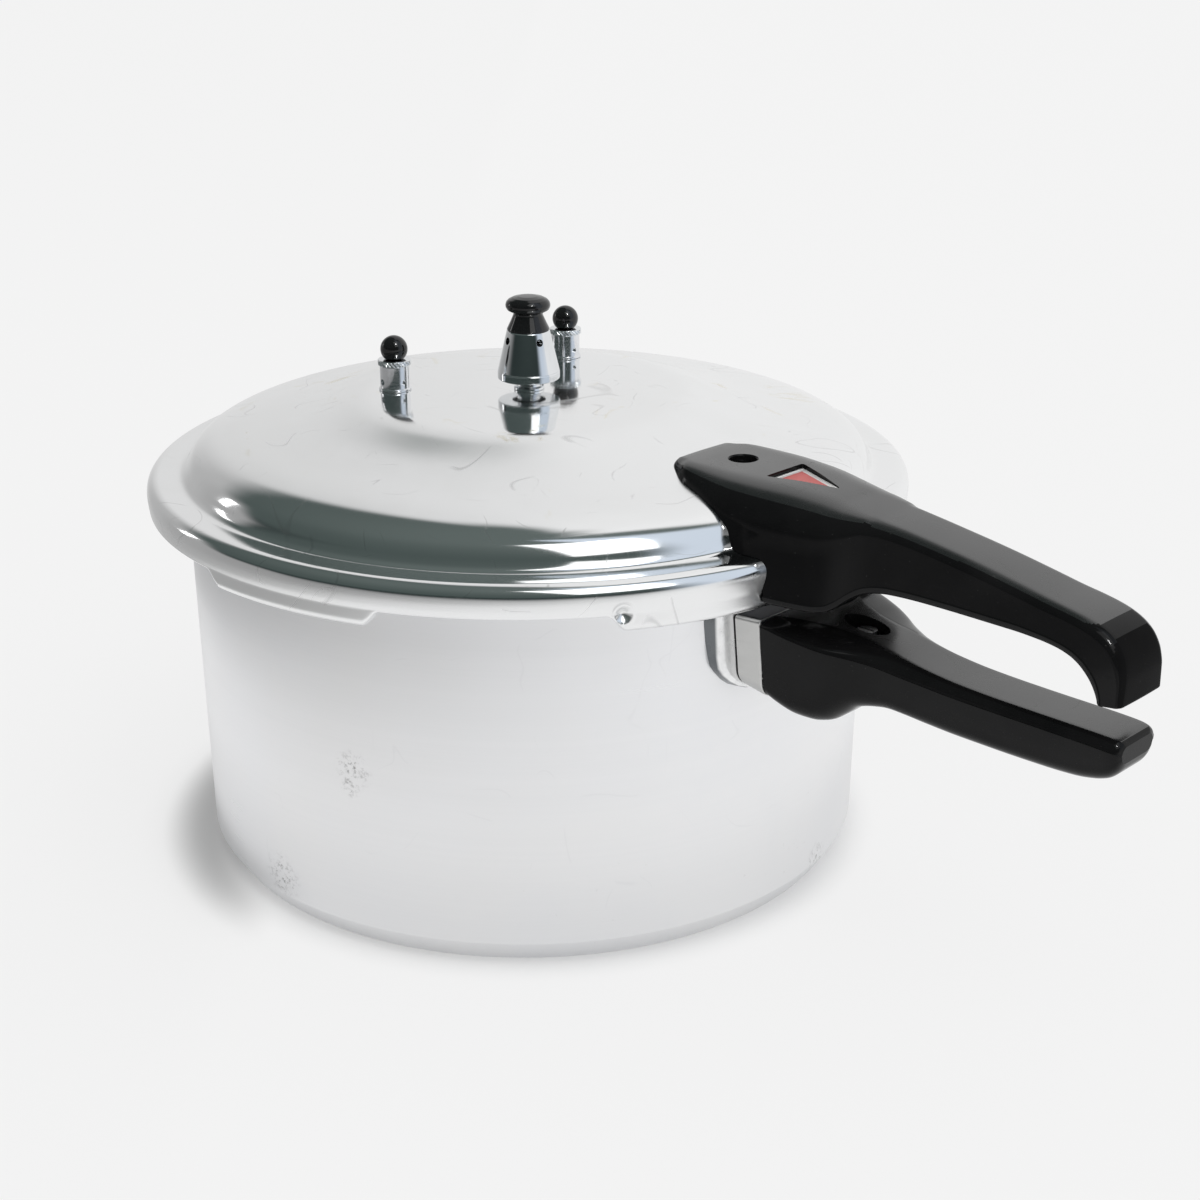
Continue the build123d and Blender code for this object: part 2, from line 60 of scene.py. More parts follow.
# ------------------------------------------------------------------ node helpers
class NT:
    def __init__(self, tree):
        self.t = tree
        tree.nodes.clear()

    def new(self, kind, **kw):
        n = self.t.nodes.new(kind)
        for k, v in kw.items():
            setattr(n, k, v)
        return n

    def put(self, sock, v):
        if hasattr(v, "is_output") or hasattr(v, "links"):
            self.t.links.new(v, sock)
        else:
            sock.default_value = v

    def math(self, op, a, b=None, c=None, clamp=False):
        n = self.new("ShaderNodeMath", operation=op, use_clamp=clamp)
        self.put(n.inputs[0], a)
        if b is not None:
            self.put(n.inputs[1], b)
        if c is not None:
            self.put(n.inputs[2], c)
        return n.outputs[0]

    def vmath(self, op, a, b=None):
        n = self.new("ShaderNodeVectorMath", operation=op)
        self.put(n.inputs[0], a)
        if b is not None:
            self.put(n.inputs[1], b)
        return n.outputs["Value"] if op in ("LENGTH", "DISTANCE", "DOT_PRODUCT") else n.outputs[0]

    def obj(self):
        return self.new("ShaderNodeTexCoord").outputs["Object"]

    def sep(self, v):
        n = self.new("ShaderNodeSeparateXYZ")
        self.put(n.inputs[0], v)
        return n.outputs[0], n.outputs[1], n.outputs[2]

    def comb(self, x, y, z):
        n = self.new("ShaderNodeCombineXYZ")
        for s, v in zip(n.inputs, (x, y, z)):
            self.put(s, v)
        return n.outputs[0]

    def noise(self, vec, scale, detail=3.0, rough=0.5, dist=0.0):
        n = self.new("ShaderNodeTexNoise")
        self.put(n.inputs["Vector"], vec)
        n.inputs["Scale"].default_value = scale
        n.inputs["Detail"].default_value = detail
        n.inputs["Roughness"].default_value = rough
        n.inputs["Distortion"].default_value = dist
        return n.outputs["Fac"]

    def rng(self, v, a, b, c=0.0, d=1.0, smooth=True):
        n = self.new("ShaderNodeMapRange", interpolation_type="SMOOTHSTEP" if smooth else "LINEAR")
        for s, x in zip(n.inputs, (v, a, b, c, d)):
            self.put(s, x)
        return n.outputs[0]

    def mix(self, f, a, b):
        n = self.new("ShaderNodeMix", data_type="RGBA")
        self.put(n.inputs[0], f)
        self.put(n.inputs[6], a)
        self.put(n.inputs[7], b)
        return n.outputs[2]

    def bump(self, h, strength, dist, normal=None):
        n = self.new("ShaderNodeBump")
        n.inputs["Strength"].default_value = strength
        n.inputs["Distance"].default_value = dist
        self.put(n.inputs["Height"], h)
        if normal is not None:
            self.put(n.inputs["Normal"], normal)
        return n.outputs[0]


def rgb(r, g, b):
    return (r, g, b, 1.0)


def material(name, build, **consts):
    m = bpy.data.materials.new(name)
    m.use_nodes = True
    t = NT(m.node_tree)
    out = t.new("ShaderNodeOutputMaterial")
    p = t.new("ShaderNodeBsdfPrincipled")
    t.t.links.new(p.outputs[0], out.inputs[0])
    for k, v in consts.items():
        p.inputs[k.replace("_", " ")].default_value = v
    got = build(t)
    for k, v in got.items():
        t.put(p.inputs[k], v)
    return m


def scratches(t, v, scale, angle_seed, width=0.06):
    """Thin curved hairlines: the ridge of a stretched, warped noise."""
    w = t.noise(t.vmath("ADD", v, (angle_seed, angle_seed * 0.7, angle_seed * 1.3)), scale, 1.0, 0.4, 0.8)
    r = t.math("ABSOLUTE", t.math("SUBTRACT", w, 0.5))
    line = t.rng(r, 0.0, width * 0.1, 1.0, 0.0)
    gate = t.rng(t.noise(t.vmath("ADD", v, (3.1 + angle_seed, 1.7, 5.3)), scale * 1.7, 2.0), 0.56, 0.62)
    return t.math("MULTIPLY", line, gate)


# ------------------------------------------------------------------ materials
def b_wall(t):
    v = t.obj()
    x, y, z = t.sep(v)
    spun = t.comb(t.math("MULTIPLY", x, 2.0), t.math("MULTIPLY", y, 2.0), t.math("MULTIPLY", z, 1500.0))
    lines = t.noise(spun, 1.0, 3.0, 0.6)
    cloud = t.noise(v, 9.0, 4.0, 0.6, 0.4)
    soft = t.noise(v, 60.0, 3.0, 0.6)
    scr = t.math("ADD", scratches(t, v, 14.0, 0.0), scratches(t, v, 23.0, 7.0), clamp=True)
    # small dark rub marks
    specks = t.rng(t.noise(v, 300.0, 3.0, 0.7), 0.66, 0.78)
    zone = t.rng(t.noise(v, 11.0, 2.0, 0.5), 0.62, 0.74)
    low = t.rng(z, 0.012, 0.055, 1.0, 0.25)
    marks = t.math("MULTIPLY", t.math("MULTIPLY", specks, zone), low)
    col = t.mix(t.rng(cloud, 0.35, 0.7), rgb(0.895, 0.90, 0.915), rgb(0.925, 0.925, 0.93))
    col = t.mix(t.math("MULTIPLY", t.rng(lines, 0.3, 0.7), 0.06), col, rgb(0.80, 0.805, 0.82))
    col = t.mix(t.math("MULTIPLY", scr, 0.14), col, rgb(0.70, 0.70, 0.72))
    col = t.mix(t.math("MULTIPLY", marks, 0.45), col, rgb(0.30, 0.29, 0.28))
    for (px, py, pz), rad in WALL_MARKS:
        d = t.vmath("DISTANCE", v, (px, py, pz))
        near = t.rng(d, rad * 0.1, rad, 1.0, 0.0)
        dots = t.rng(t.noise(v, 430.0, 5.0, 0.8), 0.49, 0.64)
        col = t.mix(t.math("MULTIPLY", t.math("MULTIPLY", near, dots), 0.72), col, rgb(0.20, 0.19, 0.19))
    ro = t.math("ADD", t.rng(lines, 0.3, 0.7, 0.27, 0.30), t.rng(cloud, 0.3, 0.7, 0.0, 0.04))
    ro = t.math("ADD", ro, t.math("MULTIPLY", marks, 0.2))
    h = t.math("ADD", t.math("MULTIPLY", lines, 0.5), t.math("MULTIPLY", soft, 0.10))
    h = t.math("SUBTRACT", h, t.math("MULTIPLY", scr, 0.4))
    tan_ = t.new("ShaderNodeTangent", direction_type="RADIAL", axis="Z").outputs[0]
    return {"Base Color": col, "Roughness": ro, "Normal": t.bump(h, 0.05, 0.00003), "Tangent": tan_}


def b_bracket(t):
    """Cast pad: bright machined face; the sides against the wall carry a near-black colour that is painted shade,
    standing in for their shadow and dark reflection.
    """
    v = t.obj()
    x, y, z = t.sep(v)
    r = t.math("SQRT", t.math("ADD", t.math("MULTIPLY", x, x), t.math("MULTIPLY", y, y)))
    face = t.rng(r, 0.1614, 0.1618)
    n = t.noise(v, 150.0, 4.0, 0.6)
    # painted shade: below r 161.4 mm (the sides against the wall) the colour drops to near-black in place of shadow and
    # dark reflection
    col = t.mix(face, rgb(0.16, 0.17, 0.18), rgb(0.90, 0.905, 0.91))
    col = t.mix(t.math("MULTIPLY", t.rng(n, 0.35, 0.75), 0.15), col, rgb(0.35, 0.35, 0.36))
    return {"Base Color": col, "Roughness": t.rng(n, 0.3, 0.7, 0.18, 0.30), "Normal": t.bump(n, 0.12, 0.00005)}


def b_lid(t):
    v = t.obj()
    x, y, z = t.sep(v)
    r = t.math("SQRT", t.math("ADD", t.math("MULTIPLY", x, x), t.math("MULTIPLY", y, y)))
    spun = t.comb(t.math("MULTIPLY", x, 5.0), t.math("MULTIPLY", y, 5.0), t.math("MULTIPLY", t.math("ADD", r, z), 700.0))
    rings = t.noise(spun, 1.0, 3.0, 0.6)
    cloud = t.noise(v, 10.0, 5.0, 0.6, 0.6)
    fine = t.noise(v, 90.0, 3.0, 0.6)
    scr = t.math("ADD", scratches(t, v, 12.0, 2.0), t.math("ADD", scratches(t, v, 19.0, 9.0), scratches(t, v, 31.0, 4.4)), clamp=True)
    smear = t.math("MULTIPLY", t.rng(t.noise(v, 17.0, 4.0, 0.7, 1.6), 0.60, 0.70), t.rng(r, 0.145, 0.130))
    top = t.rng(r, 0.146, 0.136)                       # hazy dome top against the polished shoulder
    flat = t.rng(r, 0.078, 0.070)
    skirt = t.rng(z, 0.1765, 0.1745)
    col = t.mix(t.rng(cloud, 0.3, 0.7), rgb(0.925, 0.93, 0.935), rgb(0.90, 0.905, 0.905))
    col = t.mix(t.math("MULTIPLY", smear, 0.55), col, rgb(0.84, 0.79, 0.64))
    col = t.mix(t.math("MULTIPLY", scr, 0.40), col, rgb(0.60, 0.60, 0.60))
    ro = t.math("ADD", 0.098, t.math("MULTIPLY", top, t.rng(cloud, 0.3, 0.75, 0.07, 0.13)))
    ro = t.math("SUBTRACT", ro, t.math("MULTIPLY", flat, 0.105))
    ro = t.math("ADD", ro, t.math("MULTIPLY", smear, 0.12))
    ro = t.math("ADD", ro, t.math("MULTIPLY", skirt, 0.16))
    ro = t.math("MAXIMUM", ro, 0.03)
    ro = t.math("ADD", ro, t.math("MULTIPLY", scr, 0.10))
    h = t.math("ADD", t.math("MULTIPLY", rings, t.math("ADD", 0.12, t.math("MULTIPLY", skirt, 0.6))), t.math("MULTIPLY", fine, 0.10))
    h = t.math("SUBTRACT", h, t.math("MULTIPLY", scr, 0.35))
    return {"Base Color": col, "Roughness": ro, "Normal": t.bump(h, 0.10, 0.00005)}


def metal(colour, r0, r1, scale=160.0, bump=0.1, dirt=0.15, stretch=None):
    def build(t):
        v = t.obj()
        vv = v
        if stretch:
            x, y, z = t.sep(v)
            vv = t.comb(t.math("MULTIPLY", x, stretch[0]), t.math("MULTIPLY", y, stretch[1]), t.math("MULTIPLY", z, stretch[2]))
        n = t.noise(vv, scale, 4.0, 0.6)
        n2 = t.noise(v, scale * 0.22, 3.0, 0.55, 0.4)
        col = t.mix(t.math("MULTIPLY", t.rng(n2, 0.35, 0.75), dirt), rgb(*colour), rgb(colour[0] * 0.72, colour[1] * 0.72, colour[2] * 0.72))
        return {"Base Color": col, "Roughness": t.rng(n, 0.3, 0.7, r0, r1), "Normal": t.bump(n, bump, 0.00005)}
    return build


def b_black(r0, r1, peel=0.10, base=0.0045):
    def build(t):
        v = t.obj()
        peel_n = t.noise(v, 330.0, 3.0, 0.55)
        cloud = t.noise(v, 26.0, 4.0, 0.6, 0.3)
        dust = t.rng(t.noise(v, 900.0, 2.0, 0.5), 0.70, 0.78)
        scr = t.math("ADD", scratches(t, v, 38.0, 1.0), scratches(t, v, 61.0, 6.0), clamp=True)
        col = t.mix(t.rng(cloud, 0.35, 0.7), rgb(base, base, base * 1.05), rgb(base * 1.5, base * 1.5, base * 1.55))
        col = t.mix(t.math("MULTIPLY", dust, 0.05), col, rgb(0.30, 0.30, 0.29))
        ro = t.math("ADD", t.rng(cloud, 0.3, 0.7, r0, r1), t.math("MULTIPLY", scr, 0.12))
        h = t.math("SUBTRACT", t.math("MULTIPLY", peel_n, 0.5), t.math("MULTIPLY", scr, 0.35))
        return {"Base Color": col, "Roughness": ro, "Normal": t.bump(h, peel, 0.00006)}
    return build


def b_ferrule(t):
    d = metal((0.62, 0.62, 0.61), 0.30, 0.42, 1.0, 0.12, 0.15, (60.0, 60.0, 1500.0))(t)
    z = t.sep(t.obj())[2]
    d["Base Color"] = t.mix(t.rng(z, 0.1537, 0.15405), d["Base Color"], rgb(0.15, 0.15, 0.155))      # painted shade: the upper face is darkened to stand in for the shadow and dark reflection under the lid grip
    return d


def b_rubber(t):
    v = t.obj()
    n = t.noise(v, 240.0, 3.0, 0.6)
    c = t.noise(v, 30.0, 3.0, 0.6)
    col = t.mix(c, rgb(0.10, 0.10, 0.10), rgb(0.15, 0.15, 0.145))
    return {"Base Color": col, "Roughness": t.rng(n, 0.3, 0.7, 0.5, 0.7), "Normal": t.bump(n, 0.3, 0.0001)}


def b_badge(t):
    v = t.obj()
    x, y, z = t.sep(v)
    n = t.noise(t.comb(t.math("MULTIPLY", x, 1400.0), t.math("MULTIPLY", y, 60.0), z), 1.0, 3.0, 0.6)
    # generic inlay: pale border round a darker field, both brushed
    ex = t.math("MULTIPLY", t.math("SUBTRACT", t.math("ABSOLUTE", y), t.math("MULTIPLY", t.math("SUBTRACT", 0.1817, x), 0.4035)), 0.927)
    inside = t.rng(t.math("MAXIMUM", ex, t.math("SUBTRACT", 0.1527, x)), -0.0022, -0.0026)
    col = t.mix(inside, rgb(0.80, 0.80, 0.79), rgb(0.62, 0.10, 0.09))
    col = t.mix(t.math("MULTIPLY", t.rng(n, 0.3, 0.7), 0.15), col, rgb(0.45, 0.36, 0.36))
    return {"Base Color": col, "Roughness": t.rng(n, 0.3, 0.7, 0.28, 0.42), "Normal": t.bump(n, 0.15, 0.00004)}


WALL_MARKS = [((0.0475, -0.1496, 0.0853), 0.011), ((0.0456, -0.1502, 0.0764), 0.006), ((0.0015, -0.157, 0.0198), 0.014), ((0.1535, 0.033, 0.0127), 0.01)]

MAT = {
    "pot_aluminium": material("spun_aluminium_wall", b_wall, Metallic=1.0, Anisotropic=0.55, Anisotropic_Rotation=0.25),
    "lid_aluminium": material("polished_aluminium_lid", b_lid, Metallic=1.0),
    "cast_aluminium": material("cast_aluminium", metal((0.88, 0.885, 0.89), 0.16, 0.28, 120, 0.15), Metallic=1.0),
    "bracket_aluminium": material("bracket_aluminium", b_bracket, Metallic=1.0),
    "rivet_aluminium": material("rivet_aluminium", metal((0.85, 0.855, 0.86), 0.25, 0.40, 220, 0.2), Metallic=1.0),
    "ferrule_steel": material("brushed_ferrule_steel", b_ferrule, Metallic=1.0),
    "screw_steel": material("zinc_screw_steel", metal((0.60, 0.60, 0.60), 0.25, 0.42, 260, 0.2, 0.3), Metallic=1.0),
    "handle_black": material("black_phenolic", b_black(0.085, 0.125), IOR=1.24),
    "handle_tip": material("black_phenolic_tip", b_black(0.14, 0.20), IOR=1.07),
    "handle_top": material("black_phenolic_satin_top", b_black(0.20, 0.28), IOR=1.90),
    "knob_black": material("gloss_black_phenolic", b_black(0.05, 0.09, 0.03, 0.006), Specular_IOR_Level=0.5),
    "valve_chrome": material("chrome_plate", metal((0.80, 0.815, 0.83), 0.03, 0.08, 300, 0.03, 0.2), Metallic=1.0),
    "valve_satin": material("turned_valve_aluminium", metal((0.80, 0.81, 0.83), 0.10, 0.20, 1.0, 0.10, 0.2, (70.0, 70.0, 2600.0)), Metallic=1.0),
    "gasket_rubber": material("gasket_rubber", b_rubber, Metallic=0.0),
    "badge_inlay": material("badge_inlay_metal", b_badge, Metallic=0.6),
    "brass": material("brass", metal((0.78, 0.60, 0.30), 0.22, 0.36, 240, 0.15), Metallic=1.0),
    "spring_steel": material("spring_steel", metal((0.66, 0.66, 0.67), 0.18, 0.28, 400, 0.1), Metallic=1.0),
}


# ------------------------------------------------------------------ mesh helpers
def pchip(xs, ys):
    x, y = np.array(xs, float), np.array(ys, float)
    h = np.diff(x)
    d = np.diff(y) / h
    m = np.zeros(len(x))
    for i in range(1, len(x) - 1):
        if d[i - 1] * d[i] > 0:
            w1, w2 = 2 * h[i] + h[i - 1], h[i] + 2 * h[i - 1]
            m[i] = (w1 + w2) / (w1 / d[i - 1] + w2 / d[i])
    m[0], m[-1] = d[0], d[-1]

    def f(q):
        q = np.clip(np.asarray(q, float), x[0], x[-1])
        i = np.clip(np.searchsorted(x, q, side="right") - 1, 0, len(x) - 2)
        t = (q - x[i]) / h[i]
        return ((1 + 2 * t) * (1 - t) ** 2 * y[i] + t * (1 - t) ** 2 * h[i] * m[i]
                + t * t * (3 - 2 * t) * y[i + 1] + t * t * (t - 1) * h[i] * m[i + 1])
    return f


def smoothstep(a, b, x):
    t = np.clip((np.asarray(x, float) - a) / (b - a), 0, 1)
    return t * t * (3 - 2 * t)


def make(name, verts, faces, mat, body, replaces=(), sharp=35.0, scale=MM):
    """A closed, outward-facing smooth mesh in millimetres, riding on a body."""
    bm = bmesh.new()
    vs = [bm.verts.new((p[0] * scale, p[1] * scale, p[2] * scale)) for p in verts]
    for f in faces:
        ids = []
        for i in f:
            if not ids or ids[-1] != i:
                ids.append(i)
        if len(ids) > 1 and ids[0] == ids[-1]:
            ids.pop()
        if len(set(ids)) >= 3:
            try:
                bm.faces.new([vs[i] for i in ids])
            except ValueError:
                pass
    bm.verts.ensure_lookup_table()
    loose = [v for v in bm.verts if not v.link_faces]
    if loose:
        bmesh.ops.delete(bm, geom=loose, context="VERTS")
    bmesh.ops.recalc_face_normals(bm, faces=bm.faces)
    me = bpy.data.meshes.new(name)
    bm.to_mesh(me)
    bm.free()
    me.materials.append(MAT[mat])
    ob = bpy.data.objects.new(name, me)
    bpy.context.scene.collection.objects.link(ob)
    smooth(ob, sharp)
    if body:
        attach(ob, body)
        if replaces:
            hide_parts(*replaces)
    return ob


def smooth(ob, sharp):
    me = ob.data
    me.shade_smooth()
    me.set_sharp_from_angle(angle=radians(sharp))


def cut(ob, *cutters, weld=True, op="DIFFERENCE"):
    """Takes closed cutter meshes out of ob (or joins them to it) for good."""
    for i, c in enumerate(cutters):
        m = ob.modifiers.new(f"cut{i}", "BOOLEAN")
        m.operation, m.solver, m.object = op, "EXACT", c
    dg = bpy.context.evaluated_depsgraph_get()
    dg.update()
    me = bpy.data.meshes.new_from_object(ob.evaluated_get(dg))
    ob.modifiers.clear()
    old = ob.data
    ob.data = me
    bpy.data.meshes.remove(old)
    for c in cutters:
        cm = c.data
        bpy.data.objects.remove(c)
        bpy.data.meshes.remove(cm)
    if weld:
        bm = bmesh.new()
        bm.from_mesh(ob.data)
        bmesh.ops.remove_doubles(bm, verts=bm.verts, dist=2e-6)
        bmesh.ops.dissolve_degenerate(bm, edges=bm.edges, dist=2e-6)
        bm.to_mesh(ob.data)
        bm.free()


def satin_tops(ob, limit=0.80, z_min=0.0):
    """Upward faces of a grip carry the worn, satin finish."""
    me = ob.data
    me.materials.append(MAT["handle_top"])
    for p in me.polygons:
        if p.normal.z > limit and p.center.z > z_min:
            p.material_index = 1


def weighted(ob):
    m = ob.modifiers.new("weighted", "WEIGHTED_NORMAL")
    m.keep_sharp = True
    m.weight = 60


def fillet(pts, rad, seg=4, closed=True):
    """Rounds the corners of an (r, z) outline. rad is one radius or a dict of index to radius."""
    out = []
    n = len(pts)
    for i, p in enumerate(pts):
        r = rad.get(i, rad.get("d", 0.0)) if isinstance(rad, dict) else rad
        if r <= 0 or p[0] < 1e-6 or (not closed and i in (0, n - 1)):
            out.append(p)
            continue
        a, b = pts[i - 1], pts[(i + 1) % n]
        ua = (a[0] - p[0], a[1] - p[1]); la = hypot(*ua)
        ub = (b[0] - p[0], b[1] - p[1]); lb = hypot(*ub)
        if la < 1e-6 or lb < 1e-6:
            out.append(p)
            continue
        ua = (ua[0] / la, ua[1] / la); ub = (ub[0] / lb, ub[1] / lb)
        dot = max(-1.0, min(1.0, ua[0] * ub[0] + ua[1] * ub[1]))
        ang = np.arccos(dot)
        if ang > radians(172):
            out.append(p)
            continue
        d = r / tan(ang / 2)
        d = min(d, la * 0.48, lb * 0.48)
        for k in range(seg + 1):
            t = k / seg
            q0 = (p[0] + ua[0] * d, p[1] + ua[1] * d)
            q1 = (p[0] + ub[0] * d, p[1] + ub[1] * d)
            out.append(((1 - t) ** 2 * q0[0] + 2 * t * (1 - t) * p[0] + t * t * q1[0], (1 - t) ** 2 * q0[1] + 2 * t * (1 - t) * p[1] + t * t * q1[1]))
    return out


def ring_mesh(prof, n, cx=0.0, cy=0.0, rfun=None):
    """Surface of revolution of a closed (r, z) outline. rfun(theta, r, z) may shift the radius."""
    verts, rows = [], []
    for r, z in prof:
        if r < 1e-6:
            rows.append([len(verts)] * n)
            verts.append((cx, cy, z))
        else:
            row = []
            for j in range(n):
                a = 2 * pi * j / n
                rr = r + (rfun(a, r, z) if rfun else 0.0)
                row.append(len(verts))
                verts.append((cx + rr * cos(a), cy + rr * sin(a), z))
            rows.append(row)
    faces = []
    m = len(prof)
    for i in range(m):
        k = (i + 1) % m
        if prof[i][0] < 1e-6 and prof[k][0] < 1e-6:
            continue
        for j in range(n):
            j2 = (j + 1) % n
            faces.append((rows[i][j], rows[k][j], rows[k][j2], rows[i][j2]))
    return verts, faces


def tube(r, p0, d, length, n=24, r2=None, scale=MM):
    """A closed cutter rod from p0 along d."""
    d = Vector(d).normalized()
    u = d.orthogonal().normalized()
    w = d.cross(u)
    verts, faces = [], []
    for k, s in enumerate((0.0, length)):
        rr = r if k == 0 or r2 is None else r2
        for j in range(n):
            a = 2 * pi * j / n
            verts.append(Vector(p0) + d * s + u * (rr * cos(a)) + w * (rr * sin(a)))
    for j in range(n):
        j2 = (j + 1) % n
        faces.append((j, j2, n + j2, n + j))
    faces.append(tuple(range(n)))
    faces.append(tuple(range(n, 2 * n)))
    return make("cutter", verts, faces, "screw_steel", None)


def block(x0, x1, y0, y1, z0, z1):
    v = [(x, y, z) for x in (x0, x1) for y in (y0, y1) for z in (z0, z1)]
    f = [(0, 1, 3, 2), (4, 6, 7, 5), (0, 4, 5, 1), (2, 3, 7, 6), (0, 2, 6, 4), (1, 5, 7, 3)]
    return make("cutter", v, f, "screw_steel", None)


def prism(poly, z0, z1, top_grow=0.0):
    """Closed cutter with a flat outline; its top may flare."""
    n = len(poly)
    cx, cy = sum(p[0] for p in poly) / n, sum(p[1] for p in poly) / n
    v = [(x, y, z0) for x, y in poly]
    k = 1.0 + top_grow
    v += [(cx + (x - cx) * k, cy + (y - cy) * k, z1) for x, y in poly]
    f = [tuple(range(n)), tuple(range(n, 2 * n))] + [(j, (j + 1) % n, n + (j + 1) % n, n + j) for j in range(n)]
    return make("cutter", v, f, "screw_steel", None)


# ------------------------------------------------------------------ lid shell
LUG0, LUG_ARC, LUG_N = -33.5, 29.5, 6
lid_outer = [(0, 212.0), (40, 212.0), (70, 212.0), (75, 211.75), (80, 210.6), (86, 208.6), (92, 206.6), (100, 204.2), (108, 202.3), (120, 200.0),
             (133, 197.9), (140, 196.4), (146, 194.5), (150.5, 192.2), (153.8, 189.4), (156.0, 186.2), (157.2, 183.6), (158.6, 181.4), (160.6, 180.3), (163.0, 180.0),
             (169.6, 180.0), (172.2, 179.4), (174.2, 177.9), (175.3, 175.9), (175.6, 173.6), (175.4, 170.0), (175.05, 167.3)]


def arc_resample(pts, step_fn):
    p = np.array(pts, float)
    s = np.concatenate([[0], np.cumsum(np.hypot(*np.diff(p, axis=0).T))])
    fr, fz = pchip(s, p[:, 0]), pchip(s, p[:, 1])
    # smooth the dome's curvature a little, leave the tight bends
    ss = np.arange(0, s[-1], 0.25)
    r, z = fr(ss), fz(ss)
    for sigma, r_a, r_b in ((3.0, 84.0, 152.0), (1.6, 66.0, 90.0), (0.45, 152.0, 200.0)):
        k = np.exp(-0.5 * (np.arange(-24, 25) * 0.25 * 2 / (2 * sigma)) ** 2)
        k /= k.sum()
        rp = np.convolve(np.pad(r, 24, mode="reflect", reflect_type="odd"), k, "valid")
        zp = np.convolve(np.pad(z, 24, mode="reflect", reflect_type="odd"), k, "valid")
        w = smoothstep(r_a - 3, r_a + 3, r) * (1 - smoothstep(r_b - 2, r_b + 2, r))
        r, z = r + (rp - r) * w, z + (zp - z) * w
    out, q = [], 0.0
    end = ss[-1]
    while q < end:
        out.append((float(np.interp(q, ss, r)), float(np.interp(q, ss, z))))
        q += step_fn(np.interp(q, ss, r), np.interp(q, ss, z))
    out.append((pts[-1][0], pts[-1][1]))
    return out


def lid_step(r, z):
    if r < 64:
        return 8.0
    if r < 140:
        return 1.6
    if r < 156:
        return 1.0
    if z < 172.5:
        return 0.65
    return 0.5


outer_prof = [p for p in arc_resample(lid_outer, lid_step) if p[0] >= 4.55]
outer_prof = [(4.55, 212.0)] + [p for p in outer_prof if p[0] > 6]


def offset_in(pts, d):
    p = np.array(pts)
    t = np.gradient(p, axis=0)
    t /= np.hypot(t[:, 0], t[:, 1])[:, None]
    n = np.stack([t[:, 1], -t[:, 0]], 1)
    return [tuple(a) for a in p + n * d]


inner_prof = offset_in(outer_prof, 2.5)
inner_prof = [p for i, p in enumerate(inner_prof) if i % 2 == 0 or outer_prof[i][1] < 172.5]
inner_prof[0] = (4.55, 209.5)
inner_prof[-1] = (172.52, 167.3)

gapA = [(173.785 + 1.265 * cos(a), 167.3 + 0.8 * sin(a)) for a in np.linspace(0, -pi, 41)]
lugB = fillet([(175.05, 167.3), (174.95, 159.3), (162.4, 159.3), (162.4, 162.2), (172.5, 162.2), (172.52, 167.3)], {1: 3.0, 2: 1.0, 3: 0.8, 4: 1.2, "d": 0}, 8, False)
pb = np.array(lugB)
sb = np.concatenate([[0], np.cumsum(np.hypot(*np.diff(pb, axis=0).T))])
sb_q = np.linspace(0, sb[-1], 41)
lugB = list(zip(np.interp(sb_q, sb, pb[:, 0]), np.interp(sb_q, sb, pb[:, 1])))

DIM_A, DIM_Z = -31.75, 167.2
th = list(np.arange(-180.0, 180.0, 0.75))
for k in range(LUG_N):
    for e in (LUG0 + 60 * k + 1.0, LUG0 + LUG_ARC + 60 * k - 1.0):
        e = (e + 180) % 360 - 180
        th += list(np.arange(e - 2.4, e + 2.4, 0.16))
th += list(np.arange(DIM_A - 2.2, DIM_A + 2.2, 0.11))
th = np.unique(np.round((np.array(th) + 180) % 360 - 180, 3))
keep = [th[0]]
for a in th[1:]:
    if a - keep[-1] > 0.09:
        keep.append(a)
th = np.array(keep)


def lug_weight(a):
    w = 0.0
    for k in range(LUG_N):
        c = LUG0 + LUG_ARC / 2 + 60 * k
        d = abs((a - c + 180) % 360 - 180)
        w = max(w, 1.0 - float(smoothstep(LUG_ARC / 2 - 2.3, LUG_ARC / 2 + 0.4, d)))
    return w


n_o, n_l, n_i = len(outer_prof), 39, len(inner_prof)
verts = []
for a in th:
    w = lug_weight(a)
    ca, sa = cos(radians(a)), sin(radians(a))
    col = list(outer_prof)
    for (ra, za), (rb_, zb_) in list(zip(gapA, lugB))[1:-1]:
        col.append((ra + (rb_ - ra) * w, za + (zb_ - za) * w))
    col += inner_prof[::-1]
    da = ((a - DIM_A + 180) % 360 - 180)
    for r, z in col:
        if abs(da) < 2.2 and r > 166.0 and 160.0 < z < 174.0:
            d = hypot(radians(da) * 175.0, z - DIM_Z)
            if d < 5.0:
                r = r - 2.1 * (0.5 + 0.5 * cos(pi * min(1.0, d / 4.2))) + 0.25 * float(smoothstep(3.2, 4.2, d) - smoothstep(4.2, 5.0, d))
        verts.append((r * ca, r * sa, z))
nr = n_o + n_l + n_i
nc = len(th)
faces = []
for j in range(nc):
    j2 = (j + 1) % nc
    for i in range(nr):
        i2 = (i + 1) % nr
        faces.append((j * nr + i, j * nr + i2, j2 * nr + i2, j2 * nr + i))
lid = make("lid_dome", verts, faces, "lid_aluminium", "lid", ["lid_shell"], 38)

# ------------------------------------------------------------------ pot
RIM_LUG, RIM_GAP = 171.0, 161.4
th2 = list(np.arange(-180.0, 180.0, 1.0))
for k in range(LUG_N):
    for e in (LUG0 + 3.5 + 60 * k, LUG0 + 3.5 + 25.3 + 60 * k):
        e = (e + 180) % 360 - 180
        th2 += list(np.arange(e - 0.9, e + 0.9, 0.2))
th2 = np.unique(np.round((np.array(th2) + 180) % 360 - 180, 3))


def rim_weight(a):
    w = 0.0
    for k in range(LUG_N):
        c = LUG0 + 3.5 + 25.3 / 2 + 60 * k
        d = abs((a - c + 180) % 360 - 180)
        w = max(w, 1.0 - float(smoothstep(25.3 / 2 - 0.8, 25.3 / 2 + 0.1, d)))
    return w


